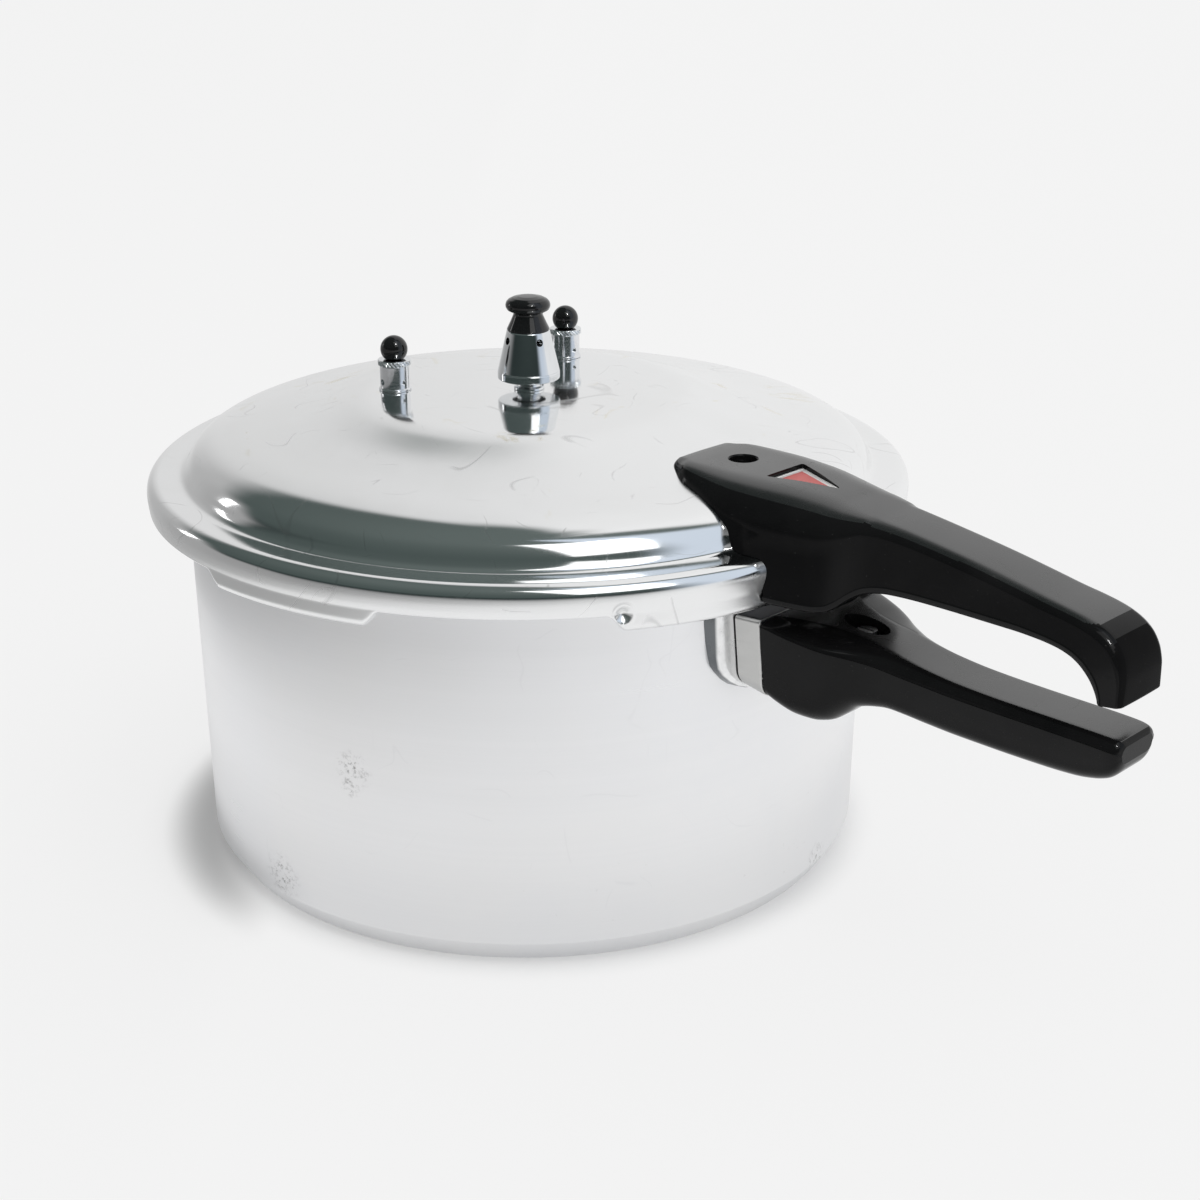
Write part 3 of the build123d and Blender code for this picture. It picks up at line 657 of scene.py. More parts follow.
pot_out = fillet([(0, 0), (149.2, 0), (155.9, 10.6), (157.7, 161.8), (158.9, 163.5), (160.9, 163.5)], {1: 1.0, 2: 0.9, 3: 1.5, 4: 0.6, "d": 0}, 6, False)
wall_rows = []
for a, b in zip(pot_out, pot_out[1:]):
    L = hypot(b[0] - a[0], b[1] - a[1])
    n = max(1, int(L / 12.0))
    wall_rows += [(a[0] + (b[0] - a[0]) * i / n, a[1] + (b[1] - a[1]) * i / n) for i in range(n)]
wall_rows.append(pot_out[-1])
rim_edge = [("R", -0.8, 163.5), ("R", -0.23, 163.73), ("R", 0.0, 164.3), ("R", 0.0, 165.7), ("R", -0.23, 166.27), ("R", -0.8, 166.5)]
pot_in = fillet([(160.9, 166.5), (156.7, 166.5), (155.25, 165.0), (153.45, 18.0), (144.5, 4.5), (0, 4.5)], {1: 0.8, 2: 1.2, 3: 9.0, 4: 8.0, "d": 0}, 8, False)
in_rows = []
for a, b in zip(pot_in, pot_in[1:]):
    L = hypot(b[0] - a[0], b[1] - a[1])
    n = max(1, int(L / 15.0))
    in_rows += [(a[0] + (b[0] - a[0]) * i / n, a[1] + (b[1] - a[1]) * i / n) for i in range(n)]
in_rows.append(pot_in[-1])
verts, faces = [(0, 0, 0), (0, 0, 4.5)], []
cols = []
for a in th2:
    w = rim_weight(a)
    R = RIM_GAP + (RIM_LUG - RIM_GAP) * w
    ca, sa = cos(radians(a)), sin(radians(a))
    col = wall_rows[1:] + [(R + d, z) for _, d, z in rim_edge] + in_rows[:-1]
    ids = [0]
    for r, z in col:
        ids.append(len(verts))
        verts.append((r * ca, r * sa, z))
    ids.append(1)
    cols.append(ids)
for j in range(len(cols)):
    A, B = cols[j], cols[(j + 1) % len(cols)]
    for i in range(len(A) - 1):
        faces.append((A[i], A[i + 1], B[i + 1], B[i]))
pot = make("pot_shell", verts, faces, "pot_aluminium", "pot", ["pot_body"], 32)


# ------------------------------------------------------------------ handles
def ring_section(half):
    """A full closed outline from the +y half, top centre to bottom centre."""
    left = [(-y, v) for y, v in half[::-1] if abs(y) > 1e-9]
    return half + left


def lid_half(hw0, h, rt, draft, lip=1.0, crown=0.35):
    hw = hw0 - draft
    rt = min(rt, hw - 0.8, h * 0.66)
    rv = min(rt * 0.86, h * 0.60)
    pts = []
    for k in range(7):
        y = (hw - rt) * k / 7
        pts.append((y, h - crown * (y / max(hw, 1)) ** 2))
    yc, vc = hw - rt, h - crown * ((hw - rt) / hw) ** 2 - rv
    a1 = pi / 2 - radians(36.0) * (1 - float(smoothstep(6.4, 9.5, rt)))      # grips keep a crisp top edge
    for k in range(17):
        a = a1 * (1 - k / 16)
        e = 0.92
        cu, cv = (cos(a) ** e - cos(a1) ** e) / (1 - cos(a1) ** e), (sin(a) / sin(a1)) ** e
        pts.append((yc + (rt - 0.5) * cu, vc + rv * cv))
    v_lip = min(3.4, h * 0.2)
    v0 = vc
    for k in range(1, 7):
        t = k / 6
        pts.append((hw - 0.5 + (0.5 + draft) * t, v0 + (v_lip - v0) * t))
    s = v_lip / 3.4
    hw = hw0
    pts += [(hw + 0.12 * lip, v_lip - 0.14 * s), (hw + 0.42 * lip, v_lip - 0.50 * s), (hw + 0.40 * lip, v_lip - 0.9 * s), (hw - 0.12, 0.95 * s), (hw - 0.42, 0.42 * s), (hw - 0.95, 0.08 * s), (hw - 1.6, 0.0)]
    for k in range(1, 6):
        pts.append(((hw - 1.6) * (1 - k / 5), 0.0))
    return pts


def loft(sections, name, mat, body, rep, sharp=32):
    verts, faces = [], []
    n = len(sections[0])
    for s in sections:
        verts += s
    for i in range(len(sections) - 1):
        for j in range(n):
            j2 = (j + 1) % n
            faces.append((i * n + j, i * n + j2, (i + 1) * n + j2, (i + 1) * n + j))
    faces.append(tuple(range(n)))
    faces.append(tuple(range((len(sections) - 1) * n, len(sections) * n)))
    return make(name, verts, faces, mat, body, rep, sharp)


# lid handle: paired points of the top line and the underside line, half width, top corner radius
#        s     tx      tz      bx      bz     hw    rt   draft
LH = [
    (0.0, 105.5, 203.4, 105.5, 176.0, 16.4, 3.0, 0.0),
    (1.0, 106.2, 204.7, 106.2, 175.9, 17.8, 4.0, 0.0),
    (3.0, 108.2, 205.6, 108.2, 175.6, 19.8, 5.5, 0.0),
    (7.0, 112.5, 206.0, 112.5, 175.2, 23.2, 8.0, 0.0),
    (14.0, 119, 206.25, 119, 174.4, 27.5, 11.0, 0.3),
    (22.0, 127, 206.35, 127, 173.4, 30.4, 13.8, 0.6),
    (30.0, 135, 206.4, 135, 172.2, 33.0, 16.4, 1.0),
    (38.0, 143, 206.45, 143, 170.6, 35.4, 18.8, 1.7),
    (45.0, 150, 206.4, 150, 168.4, 36.8, 20.3, 2.6),
    (55.0, 160, 206.25, 160, 163.8, 37.3, 21.3, 3.5),
    (60.0, 165, 206.1, 165, 162.6, 37.0, 21.6, 3.8),
    (70.0, 175, 205.4, 175, 162.4, 35.2, 21.0, 4.2),
    (80.0, 185, 204.4, 185, 162.35, 33.0, 19.6, 4.4),
    (87.0, 192, 203.4, 192, 162.4, 31.0, 17.4, 4.3),
    (92.0, 197, 202.8, 196.6, 162.9, 28.4, 14.8, 3.6),
    (96.0, 201, 202.3, 200.2, 165.0, 25.2, 12.4, 2.5),
    (100.0, 205, 201.8, 203.6, 168.2, 21.8, 9.8, 1.4),
    (104.0, 209, 201.3, 207.6, 170.8, 19.4, 7.8, 0.8),
    (109.0, 214, 200.8, 213.4, 172.6, 18.0, 6.6, 0.4),
    (115.0, 220, 200.2, 220, 173.5, 17.1, 6.2, 0.2),
    (130.0, 235, 198.3, 235, 174.1, 16.4, 5.8, 0.1),
    (150.0, 255, 195.4, 255, 174.3, 16.2, 5.6, 0.1),
    (170.0, 275, 191.9, 275, 174.3, 16.1, 5.4, 0.1),
    (185.0, 289, 189.3, 287, 173.8, 16.0, 5.2, 0.1),
    (194.0, 297.5, 187.9, 294.5, 172.9, 16.0, 5.0, 0.1),
    (201.0, 304, 186.6, 300, 171.4, 16.0, 5.0, 0.1),
    (207.0, 309.6, 184.9, 304, 169.3, 16.0, 5.0, 0.1),
    (213.0, 315.2, 181.9, 307.2, 166.6, 16.0, 4.8, 0.1),
    (219.0, 319.4, 177.6, 309.6, 163.9, 16.0, 4.6, 0.1),
    (225.0, 321.9, 172.3, 311.2, 161.5, 16.0, 4.2, 0.1),
    (231.0, 322.9, 166.4, 312.4, 159.2, 16.0, 3.6, 0.1),
    (236.0, 322.95, 161.5, 313.0, 157.8, 16.0, 3.2, 0.1),
    (239.6, 322.9, 157.4, 313.3, 156.6, 16.0, 2.8, 0.1),
]
LHa = np.array(LH)
fLH = [pchip(LHa[:, 0], LHa[:, c]) for c in range(1, 8)]
ss = np.concatenate([np.arange(0, 7, 0.5), np.arange(7, 84, 1.6), np.arange(84, 114, 0.8), np.arange(114, 184, 2.5), np.arange(184, 239.6, 1.2), [239.6]])
secs = []
last = None
for s in ss:
    tx, tz, bx, bz, hw, rt, dr = [float(f(s)) for f in fLH]
    T, B = Vector((tx, 0, tz)), Vector((bx, 0, bz))
    h = (T - B).length
    u = (T - B) / h
    half = lid_half(hw, h, rt, dr)
    secs.append([(B.x + u.x * v, y, B.z + u.z * v) for y, v in ring_section(half)])
    last = (T, B, hw, rt, u, h)
# rounded, flat-cut tip
T, B, hw, rt, u, h = last
fw = Vector((0.03, 0, -1.0)).normalized()
for off, ins in ((0.45, 0.12), (0.75, 0.35), (0.95, 0.75), (1.02, 1.3)):
    half = lid_half(hw - ins, h - 2 * ins, rt, dr)
    b2 = B + fw * off + u * ins
    secs.append([(b2.x + u.x * v, y, b2.z + u.z * v) for y, v in ring_section(half)])
lh = loft(secs, "lid_grip", "handle_black", "lid", ["lid_handle"], 30)

env = [(0, 140.0)] + [(0, 212.15)] + [(r + n0 * 0.15, z + n1 * 0.15) for (r, z), (n0, n1) in zip(outer_prof[1:], [(-(b[1] - a[1]) / max(hypot(b[0] - a[0], b[1] - a[1]), 1e-9), (b[0] - a[0]) / max(hypot(b[0] - a[0], b[1] - a[1]), 1e-9)) for a, b in zip(outer_prof, outer_prof[1:])]) if z > 168]
env = [(max(0.0, r), z) for r, z in env]
env += [(175.9, 166.0), (175.9, 140.0)]
v_, f_ = ring_mesh(env, 360)
c_env = make("cutter", v_, f_, "screw_steel", None)
cutters = [c_env, block(160.0, 214.0, -13.3, 13.3, 176.0, 182.9), block(150, 209.0, -13.3, 13.3, 150, 181.0)]
v_, f_ = ring_mesh([(0, 185), (10.2, 185), (10.2, 202.9), (6.0, 202.9), (6.0, 205.75), (6.9, 206.8), (6.9, 215), (0, 215)], 64, 130.0, 0.0)
cutters.append(make("cutter", v_, f_, "screw_steel", None))
b_x0, b_x1, b_hw = 152.4, 182.0, 12.0


def round_poly(pts, r, seg=5):
    out = []
    n = len(pts)
    for i in range(n):
        p, a, b = Vector(pts[i]), Vector(pts[i - 1]), Vector(pts[(i + 1) % n])
        ua, ub = (a - p).normalized(), (b - p).normalized()
        ang = ua.angle(ub)
        d = r / tan(ang / 2)
        for k in range(seg + 1):
            t = k / seg
            q = (1 - t) ** 2 * (p + ua * d) + 2 * t * (1 - t) * p + t * t * (p + ub * d)
            out.append((q.x, q.y))
    return out


tri = [(b_x0, b_hw), (b_x0, -b_hw), (b_x1, 0.0)]
cutters.append(prism(round_poly(tri, 1.2), 203.6, 209.0, 0.02))
for x, y in ((166.0, 8.5), (166.0, -8.5)):
    cutters.append(tube(4.4, (x, y, 176), (0, 0, 1), 9.2))
cut(lh, *cutters)
satin_tops(lh, 0.80, 0.185)
lh.data.materials.append(MAT["handle_tip"])
for p in lh.data.polygons:
    if p.normal.x > 0.62 and p.center.x > 0.306:
        p.material_index = len(lh.data.materials) - 1
smooth(lh, 34)
weighted(lh)

# badge inlay with a raised rim
bad = round_poly([(b_x0 + 0.25, b_hw - 0.4), (b_x0 + 0.25, -b_hw + 0.4), (b_x1 - 0.55, 0.0)], 1.1)
n = len(bad)
cx = sum(p[0] for p in bad) / n
rows = []
for ins, z in ((0.0, 203.62), (0.0, 204.45), (0.10, 204.6), (0.55, 204.62), (0.75, 204.42), (1.0, 204.38)):
    k = 1.0 - ins / 6.5
    rows.append([(cx + (x - cx) * k, y * k, z) for x, y in bad])
verts = [p for r_ in rows for p in r_] + [(cx, 0, 203.62), (cx, 0, 204.42)]
faces = []
for i in range(len(rows) - 1):
    for j in range(n):
        j2 = (j + 1) % n
        faces.append((i * n + j, i * n + j2, (i + 1) * n + j2, (i + 1) * n + j))
for j in range(n):
    j2 = (j + 1) % n
    faces.append((j2, j, len(verts) - 2))
    faces.append(((len(rows) - 1) * n + j, (len(rows) - 1) * n + j2, len(verts) - 1))
make("badge_plate", verts, faces, "badge_inlay", "lid", ["handle_badge"], 30)


# pot handle
def pot_half(hw, h, rx, rb, part):
    """Half outline of the pot handle: flat top, long shoulder, parting line, tapered belly."""
    part = min(part, h * 0.45)
    rx = min(rx, hw * 0.72)
    yf, ry = hw - 0.3 - rx, part - 0.45
    pts = []
    for k in range(6):
        y = yf * k / 6
        pts.append((y, h - 0.10 * (y / hw) ** 2))
    for k in range(13):
        a = radians(36.0) + radians(48.0) * k / 12
        u, w = (sin(a) - sin(radians(36.0))) / (sin(radians(84.0)) - sin(radians(36.0))), (cos(radians(36.0)) - cos(a)) / (cos(radians(36.0)) - cos(radians(84.0)))
        pts.append((yf + rx * u, h - 0.10 * (yf / hw) ** 2 - ry * 0.9 * w))
    vp = h - part
    pts += [(hw - 0.16, vp + 0.34), (hw - 0.12, vp + 0.20), (hw + 0.18, vp + 0.09), (hw + 0.18, vp - 0.12), (hw - 0.12, vp - 0.28)]
    taper = 0.10 * vp
    rbv = min(rb, vp * 0.75)
    rbh = min(rb * 1.15, hw * 0.8)
    yb = hw - taper
    v_top = rbv
    for k in range(1, 6):
        t = k / 5
        pts.append((hw - 0.12 + (yb - hw + 0.12) * t * (0.6 + 0.4 * t), vp - 0.3 + (v_top - vp + 0.3) * t))
    for k in range(1, 11):
        a = pi / 2 * k / 10
        pts.append((yb - rbh + rbh * cos(a), rbv - rbv * sin(a)))
    for k in range(1, 5):
        pts.append(((yb - rbh) * (1 - k / 4), 0.0))
    return pts


#      x      zt     zb     hw    rx   rb   part
PH = [
    (170.0, 153.6, 117.8, 34.3, 9.0, 7.0, 2.4),
    (175.0, 153.2, 114.6, 33.8, 12.0, 8.5, 2.9),
    (182.0, 152.5, 111.6, 32.8, 15.0, 10.0, 3.6),
    (189.0, 151.7, 110.6, 31.2, 16.5, 11.0, 4.2),
    (195.0, 150.9, 111.8, 29.2, 16.5, 11.0, 4.7),
    (200.0, 150.3, 115.4, 26.8, 15.0, 10.5, 5.1),
    (206.0, 149.6, 120.0, 23.2, 12.0, 9.5, 5.5),
    (212.0, 148.8, 121.4, 20.2, 8.8, 8.6, 5.8),
    (218.0, 147.7, 121.9, 17.8, 6.6, 8.0, 5.9),
    (226.0, 146.2, 121.3, 16.3, 5.2, 7.6, 5.7),
    (236.0, 144.8, 120.4, 15.4, 4.4, 7.4, 5.2),
    (252.0, 143.5, 119.8, 15.0, 4.0, 7.2, 4.7),
    (270.0, 143.0, 119.7, 14.8, 3.8, 7.2, 4.4),
    (289.0, 142.9, 120.0, 14.7, 3.8, 7.2, 4.3),
    (304.0, 142.9, 121.0, 14.7, 3.8, 7.0, 4.3),
    (312.0, 142.8, 122.7, 14.6, 3.8, 6.6, 4.3),
    (317.5, 142.6, 125.0, 14.5, 3.8, 6.0, 4.3),
    (320.6, 142.2, 127.6, 14.0, 3.7, 5.4, 4.2),
    (322.4, 141.4, 130.2, 12.9, 3.4, 4.6, 3.8),
    (323.35, 139.9, 133.0, 11.0, 2.6, 3.0, 3.0),
]
PHa = np.array(PH)
fPH = [pchip(PHa[:, 0], PHa[:, c]) for c in range(1, 7)]
xs = np.concatenate([np.arange(170, 232, 1.3), np.arange(232, 312, 3.0), np.arange(312, 319, 0.6), np.arange(319, 323.3, 0.25), [323.35]])
secs = []
for x in xs:
    zt, zb, hw, rt, rb, part = [float(f(x)) for f in fPH]
    secs.append([(x, y, zb + v) for y, v in ring_section(pot_half(hw, zt - zb, rt, rb, part))])
ph = loft(secs, "pot_grip", "handle_black", "pot", ["pot_handle"], 28)
SX = 198.4
oval = [(SX + 10.3 * cos(2 * pi * k / 56), 6.4 * sin(2 * pi * k / 56)) for k in range(56)]
cutters = [block(165, 176.3, -20.3, 20.3, 128.7, 145.3), block(165, 217.3, -9.2, 9.2, 133.8, 140.2), block(165, 186.3, -3.2, 3.2, 125.8, 148.2),
           prism(oval, 146.0, 158.0, 0.10), tube(2.7, (SX, 0, 108), (0, 0, 1), 40),
           prism([(SX + 7.4 / 2 / cos(pi / 6) * cos(k * pi / 3), 7.4 / 2 / cos(pi / 6) * sin(k * pi / 3)) for k in range(6)], 106, 129.4)]
cut(ph, *cutters)
ph.data.materials.append(MAT["handle_top"])
f_hw, f_rx = fPH[2], fPH[3]
for p in ph.data.polygons:
    cx_ = p.center.x / MM
    if p.normal.z > 0.90 and p.center.z > 0.1385 and abs(p.center.y) / MM < float(f_hw(cx_)) - min(float(f_rx(cx_)), float(f_hw(cx_)) * 0.72) + 0.2:
        p.material_index = 1
smooth(ph, 30)
weighted(ph)

# ------------------------------------------------------------------ ferrule and bracket
def rr_outline(hw, zt, zb, rt, rb, n=7):
    pts = []
    for cy_, cz_, r, a0 in ((hw - rt, zt - rt, rt, 90), (hw - rb, zb + rb, rb, 0), (-hw + rb, zb + rb, rb, -90), (-hw + rt, zt - rt, rt, 180)):
        a_from = {90: 90, 0: 0, -90: -90, 180: 180}[a0]
        for k in range(n + 1):
            a = radians(a_from - 90 * k / n)
            pts.append((cy_ + r * cos(a), cz_ + r * sin(a)))
    return pts


def fer_ring(x, grow):
    hw0 = 36.8 + (34.3 - 36.8) * (x - 156.0) / 14.0
    return [(x, y * (1 - 0.09 * (153.9 - z) / 36.0), z) for y, z in rr_outline(hw0 + grow, 153.9 + grow, 117.9 + 0.3 * (170.0 - x) - grow, 1.8 + grow, 7.0 + grow)]


prof = [(150.0, 0.2), (158.0, 0.2), (163.0, 0.2), (168.6, 0.2), (169.5, 0.05), (169.8, -0.35), (169.6, -0.9), (163.0, -0.9), (158.0, -0.9), (150.0, -0.9)]
rows = [fer_ring(x, g) for x, g in prof]
n = len(rows[0])
verts = [p for r_ in rows for p in r_]
faces = []
for i in range(len(rows)):
    i2 = (i + 1) % len(rows)
    for j in range(n):
        j2 = (j + 1) % n
        faces.append((i * n + j, i * n + j2, i2 * n + j2, i2 * n + j))
fer = make("steel_ferrule", verts, faces, "ferrule_steel", "pot", ["pot_ferrule"], 30)
v_, f_ = ring_mesh([(0, 90), (162.7, 90), (162.7, 180), (0, 180)], 360)
cut(fer, make("cutter", v_, f_, "screw_steel", None))
smooth(fer, 30)
weighted(fer)


# bracket: a cast pad on the wall with rounded ends, plus the shoulder, web and tang inside the handle
PAD = [(118.4, 8.2, 8.8), (119.4, 10.3, 11.0), (121.2, 11.9, 12.6), (124.0, 13.4, 13.9), (127.5, 14.7, 15.0), (131.0, 15.5, 15.9), (136.0, 15.85, 16.4), (143.0, 16.0, 16.9), (150.0, 16.15, 17.2), (154.4, 16.2, 17.3), (155.2, 15.9, 17.3)]
verts, faces = [], []
NA = 40
for z, face_a, foot_a in PAD:
    row = []
    for k in range(NA + 1):
        f = -1 + 2 * k / NA
        a = radians(face_a * f)
        rr = 162.0 - 0.5 * float(smoothstep(0.96, 1.0, abs(f)))
        row.append((rr * cos(a), rr * sin(a), z))
    foot = [(157.35 * cos(radians(foot_a * f)), 157.35 * sin(radians(foot_a * f)), z) for f in np.linspace(1, -1, NA + 1)]
    verts += row + foot
m = 2 * (NA + 1)
for i in range(len(PAD) - 1):
    for j in range(m):
        j2 = (j + 1) % m
        faces.append((i * m + j, i * m + j2, (i + 1) * m + j2, (i + 1) * m + j))
for base, flip in ((0, True), ((len(PAD) - 1) * m, False)):
    for k in range(NA):
        q = (base + k, base + k + 1, base + m - 2 - k, base + m - 1 - k)
        faces.append(q[::-1] if flip else q)
brk = make("pot_bracket_casting", verts, faces, "bracket_aluminium", "pot", ["pot_bracket"], 30)
cut(brk, block(158.5, 176, -20, 20, 129, 145), block(158.5, 186, -3, 3, 126, 148), block(158.5, 217, -9, 9, 134, 140), op="UNION")
cut(brk, tube(2.6, (SX, 0, 120), (0, 0, 1), 30))
smooth(brk, 30)
weighted(brk)

# ------------------------------------------------------------------ turned parts on the lid
def turned(name, node, prof, x, y, mat, body, rad=0.3, n=96, holes=(), seg=3):
    v, f = ring_mesh(fillet(prof, rad, seg), n, x, y)
    ob = make(name, v, f, mat, body, [node], 40)
    if holes:
        cut(ob, *[tube(r, p, d, L, 28) for r, p, d, L in holes])
        smooth(ob, 40)
        weighted(ob)
    return ob


WN = 239.6
holes = []
for k in range(4):
    a = radians(-15.0 + 90 * k)
    d = Vector((cos(a), sin(a), 0.22))
    holes.append((1.7, (6.0 * cos(a), 6.0 * sin(a), 234.46), d, 12))
    holes.append((1.2, (3.9 * cos(a), 3.9 * sin(a), 234.0), d, 6))
wb_prof = [(7.7, 217.1), (13.9, 217.1), (14.35, 217.5), (14.35, 220.3), (14.05, 220.75), (14.2, 221.0), (9.95, 239.2), (9.6, 239.6), (4.0, 239.6),
           (4.0, 237.6), (6.4, 237.6), (6.4, 229.2), (3.6, 229.2), (3.6, 221.4), (7.7, 221.4)]
turned("regulator_weight", "weight_body", wb_prof, 0, 0, "valve_chrome", "weight", {0: 0.3, 1: 0.5, 2: 0.5, 3: 0.3, 4: 0.15, 5: 0.2, 6: 0.4, 7: 0.2, "d": 0.1}, 144, holes)
knob_prof = [(1.6, 240.2), (1.6, 237.6), (4.0, 237.6), (4.0, WN + 0.02), (9.5, WN + 0.02), (9.75, 240.1), (7.9, 244.0), (6.75, 246.7), (6.7, 247.6), (7.9, 248.15), (9.5, 249.0), (10.2, 250.4),
             (10.25, 251.4), (9.9, 252.6), (8.9, 253.7), (7.0, 254.6), (4.2, 255.15), (0, 255.3), (0, 240.2)]
turned("regulator_knob", "weight_knob", knob_prof, 0, 0, "knob_black", "weight", {4: 0.3, 5: 0.3, 6: 0.0, 7: 1.5, 8: 0.6, 9: 1.2, 10: 1.5, 11: 1.0, 12: 1.0, 13: 1.5, 14: 1.5, 15: 2, 16: 2, "d": 0}, 128, (), 5)
vent_prof = [(1.25, 197.0), (4.4, 197.0), (4.5, 197.4), (4.5, 212.05), (7.0, 212.05), (7.0, 213.2), (6.2, 213.6), (5.4, 213.6), (5.4, 215.0), (4.7, 215.2), (4.7, 216.0),
             (5.4, 216.2), (5.4, 217.6), (4.2, 218.8), (3.5, 219.4), (3.5, 231.4), (2.2, 233.3), (1.25, 233.3)]
turned("vent_stem", "vent_pipe", vent_prof, 0, 0, "valve_chrome", "lid", 0.2, 96)

for nm, ang in (("left", -134.5), ("right", 119.4)):
    vx, vy = 61.5 * cos(radians(ang)), 61.5 * sin(radians(ang))
    z0 = 212.0
    body_prof = [(2.2, z0 - 10.0), (4.3, z0 - 10.0), (4.5, z0 - 9.6), (4.5, z0 + 0.05), (7.5, z0 + 0.05), (7.5, z0 + 0.9), (6.85, z0 + 1.2), (6.85, z0 + 11.5),
                 (5.3, z0 + 11.5), (5.3, z0 + 1.0), (2.2, z0 + 1.0)]
    holes = []
    for k in range(4):
        b = radians(-8.0 + 90 * k)
        holes.append((1.4, (vx + 5.6 * cos(b), vy + 5.6 * sin(b), z0 + 4.2), (cos(b), sin(b), 0), 4))
    turned(f"{nm}_valve_tube", f"{nm}_valve_body", body_prof, vx, vy, "valve_satin", "lid", 0.25, 96, holes)

    # knurled ring: diagonal grooves in one direction between two plain lips
    def knurl(a, r, z, z0=z0):
        if r < 7.2:
            return 0.0
        t = (z - (z0 + 11.9)) / 2.1
        if t < 0 or t > 1:
            return 0.0
        edge = min(1.0, t / 0.15, (1 - t) / 0.15)
        u = a * 26 / (2 * pi)
        g1 = abs(((u + t * 1.2) % 1.0) - 0.5) * 2
        return -0.55 * edge * max(0.0, 1 - g1 * 1.5)
    ring = [(2.0, z0 + 14.3), (2.0, z0 + 11.6), (3.9, z0 + 11.6), (3.9, z0 + 9.0), (5.2, z0 + 9.0), (5.2, z0 + 11.6), (7.3, z0 + 11.6), (7.55, z0 + 11.72)]
    ring += [(7.65, z0 + 11.9 + 2.1 * k / 14) for k in range(15)]
    ring += [(7.5, z0 + 14.22), (7.2, z0 + 14.3)]
    v_, f_ = ring_mesh(ring, 408, vx, vy, knurl)
    make(f"{nm}_valve_knurl", v_, f_, "valve_chrome", "lid", [f"{nm}_valve_cap"], 50)

    zc, R = z0 + 18.9, 6.25
    zb = z0 + 14.55
    a0 = atan2(zb - zc, sqrt(R * R - (zb - zc) ** 2))
    arc = [(R * cos(a0 + (pi / 2 - a0) * i / 40), zc + R * sin(a0 + (pi / 2 - a0) * i / 40)) for i in range(40)]
    ballp = [(1.9, zb), (arc[0][0] - 0.5, zb)] + arc[1:] + [(0, zc + R), (0, z0 + 18.5), (1.9, z0 + 18.5)]
    v_, f_ = ring_mesh(ballp, 96, vx, vy)
    make(f"{nm}_valve_knob", v_, f_, "knob_black", f"{nm}_plunger", [f"{nm}_valve_ball"], 40)

# ------------------------------------------------------------------ finishes for the CAD nodes that stay
CAD = {
    "pot_bracket_rivets": "rivet_aluminium", "pot_handle_screw": "screw_steel", "pot_handle_nut": "screw_steel",
    "lid_gasket": "gasket_rubber", "lid_bracket": "cast_aluminium", "lid_bracket_rivets": "rivet_aluminium", "lid_handle_screws": "screw_steel",
    "vent_pipe_washer": "screw_steel", "vent_pipe_nut": "screw_steel", "vent_strainer": "valve_satin", "float_valve_bush": "brass", "float_valve_washer": "gasket_rubber",
    "float_valve_nut": "brass", "weight_needle": "screw_steel", "float_pin": "valve_satin", "float_pin_seal": "gasket_rubber", "float_pin_clip": "spring_steel",
}
for s in ("left", "right"):
    CAD.update({f"{s}_valve_spring": "spring_steel", f"{s}_valve_washer": "screw_steel", f"{s}_valve_nut": "screw_steel", f"{s}_valve_plunger": "valve_satin"})
for name, m in CAD.items():
    o = nodes[name]
    if not o.material_slots:
        o.data.materials.append(MAT[m])
    for sl in o.material_slots:
        sl.material = MAT[m]
    for p in o.data.polygons:
        p.material_index = 0

# ------------------------------------------------------------------ floor, world, lights
def floor_piece(name, r0, r1, n=128):
    bm = bmesh.new()
    rows = [[bm.verts.new((r * cos(2 * pi * k / n), r * sin(2 * pi * k / n), 0)) for k in range(n)] for r in (r0, r1) if r > 0]
    if r0 <= 0:
        bm.faces.new(rows[0])
    else:
        for k in range(n):
            bm.faces.new((rows[0][k], rows[1][k], rows[1][(k + 1) % n], rows[0][(k + 1) % n]))
    me = bpy.data.meshes.new(name)
    bm.to_mesh(me)
    bm.free()
    ob = bpy.data.objects.new(name, me)
    ob.location = FWD * -0.05 + RGT * 0.08 + Vector((0, 0, -0.0002))
    bpy.context.scene.collection.objects.link(ob)
    return ob


NEAR_R = 0.50
floor_near = floor_piece("studio_floor_near", 0.0, NEAR_R)
floor = floor_piece("studio_floor", NEAR_R, 60.0)
fm = bpy.data.materials.new("studio_floor")
fm.use_nodes = True
t = NT(fm.node_tree)
out = t.new("ShaderNodeOutputMaterial")
dif = t.new("ShaderNodeBsdfDiffuse")
dif.inputs["Color"].default_value = rgb(0.86, 0.86, 0.86)
em = t.new("ShaderNodeEmission")
em.inputs["Color"].default_value = rgb(0.905, 0.905, 0.905)
em.inputs["Strength"].default_value = 1.0
mx = t.new("ShaderNodeMixShader")
fv = t.obj()
fr_ = t.vmath("LENGTH", t.vmath("ADD", fv, tuple(FWD * -0.05 + RGT * 0.08)))
left = t.math("SUBTRACT", 1.0, t.rng(t.vmath("DOT_PRODUCT", fv, tuple(RGT)), -0.235, -0.19))
open_ = t.rng(fr_, 0.150, 0.170, 0.30, 0.88)
seen = t.math("SUBTRACT", 1.0, t.new("ShaderNodeLightPath").outputs["Is Camera Ray"])
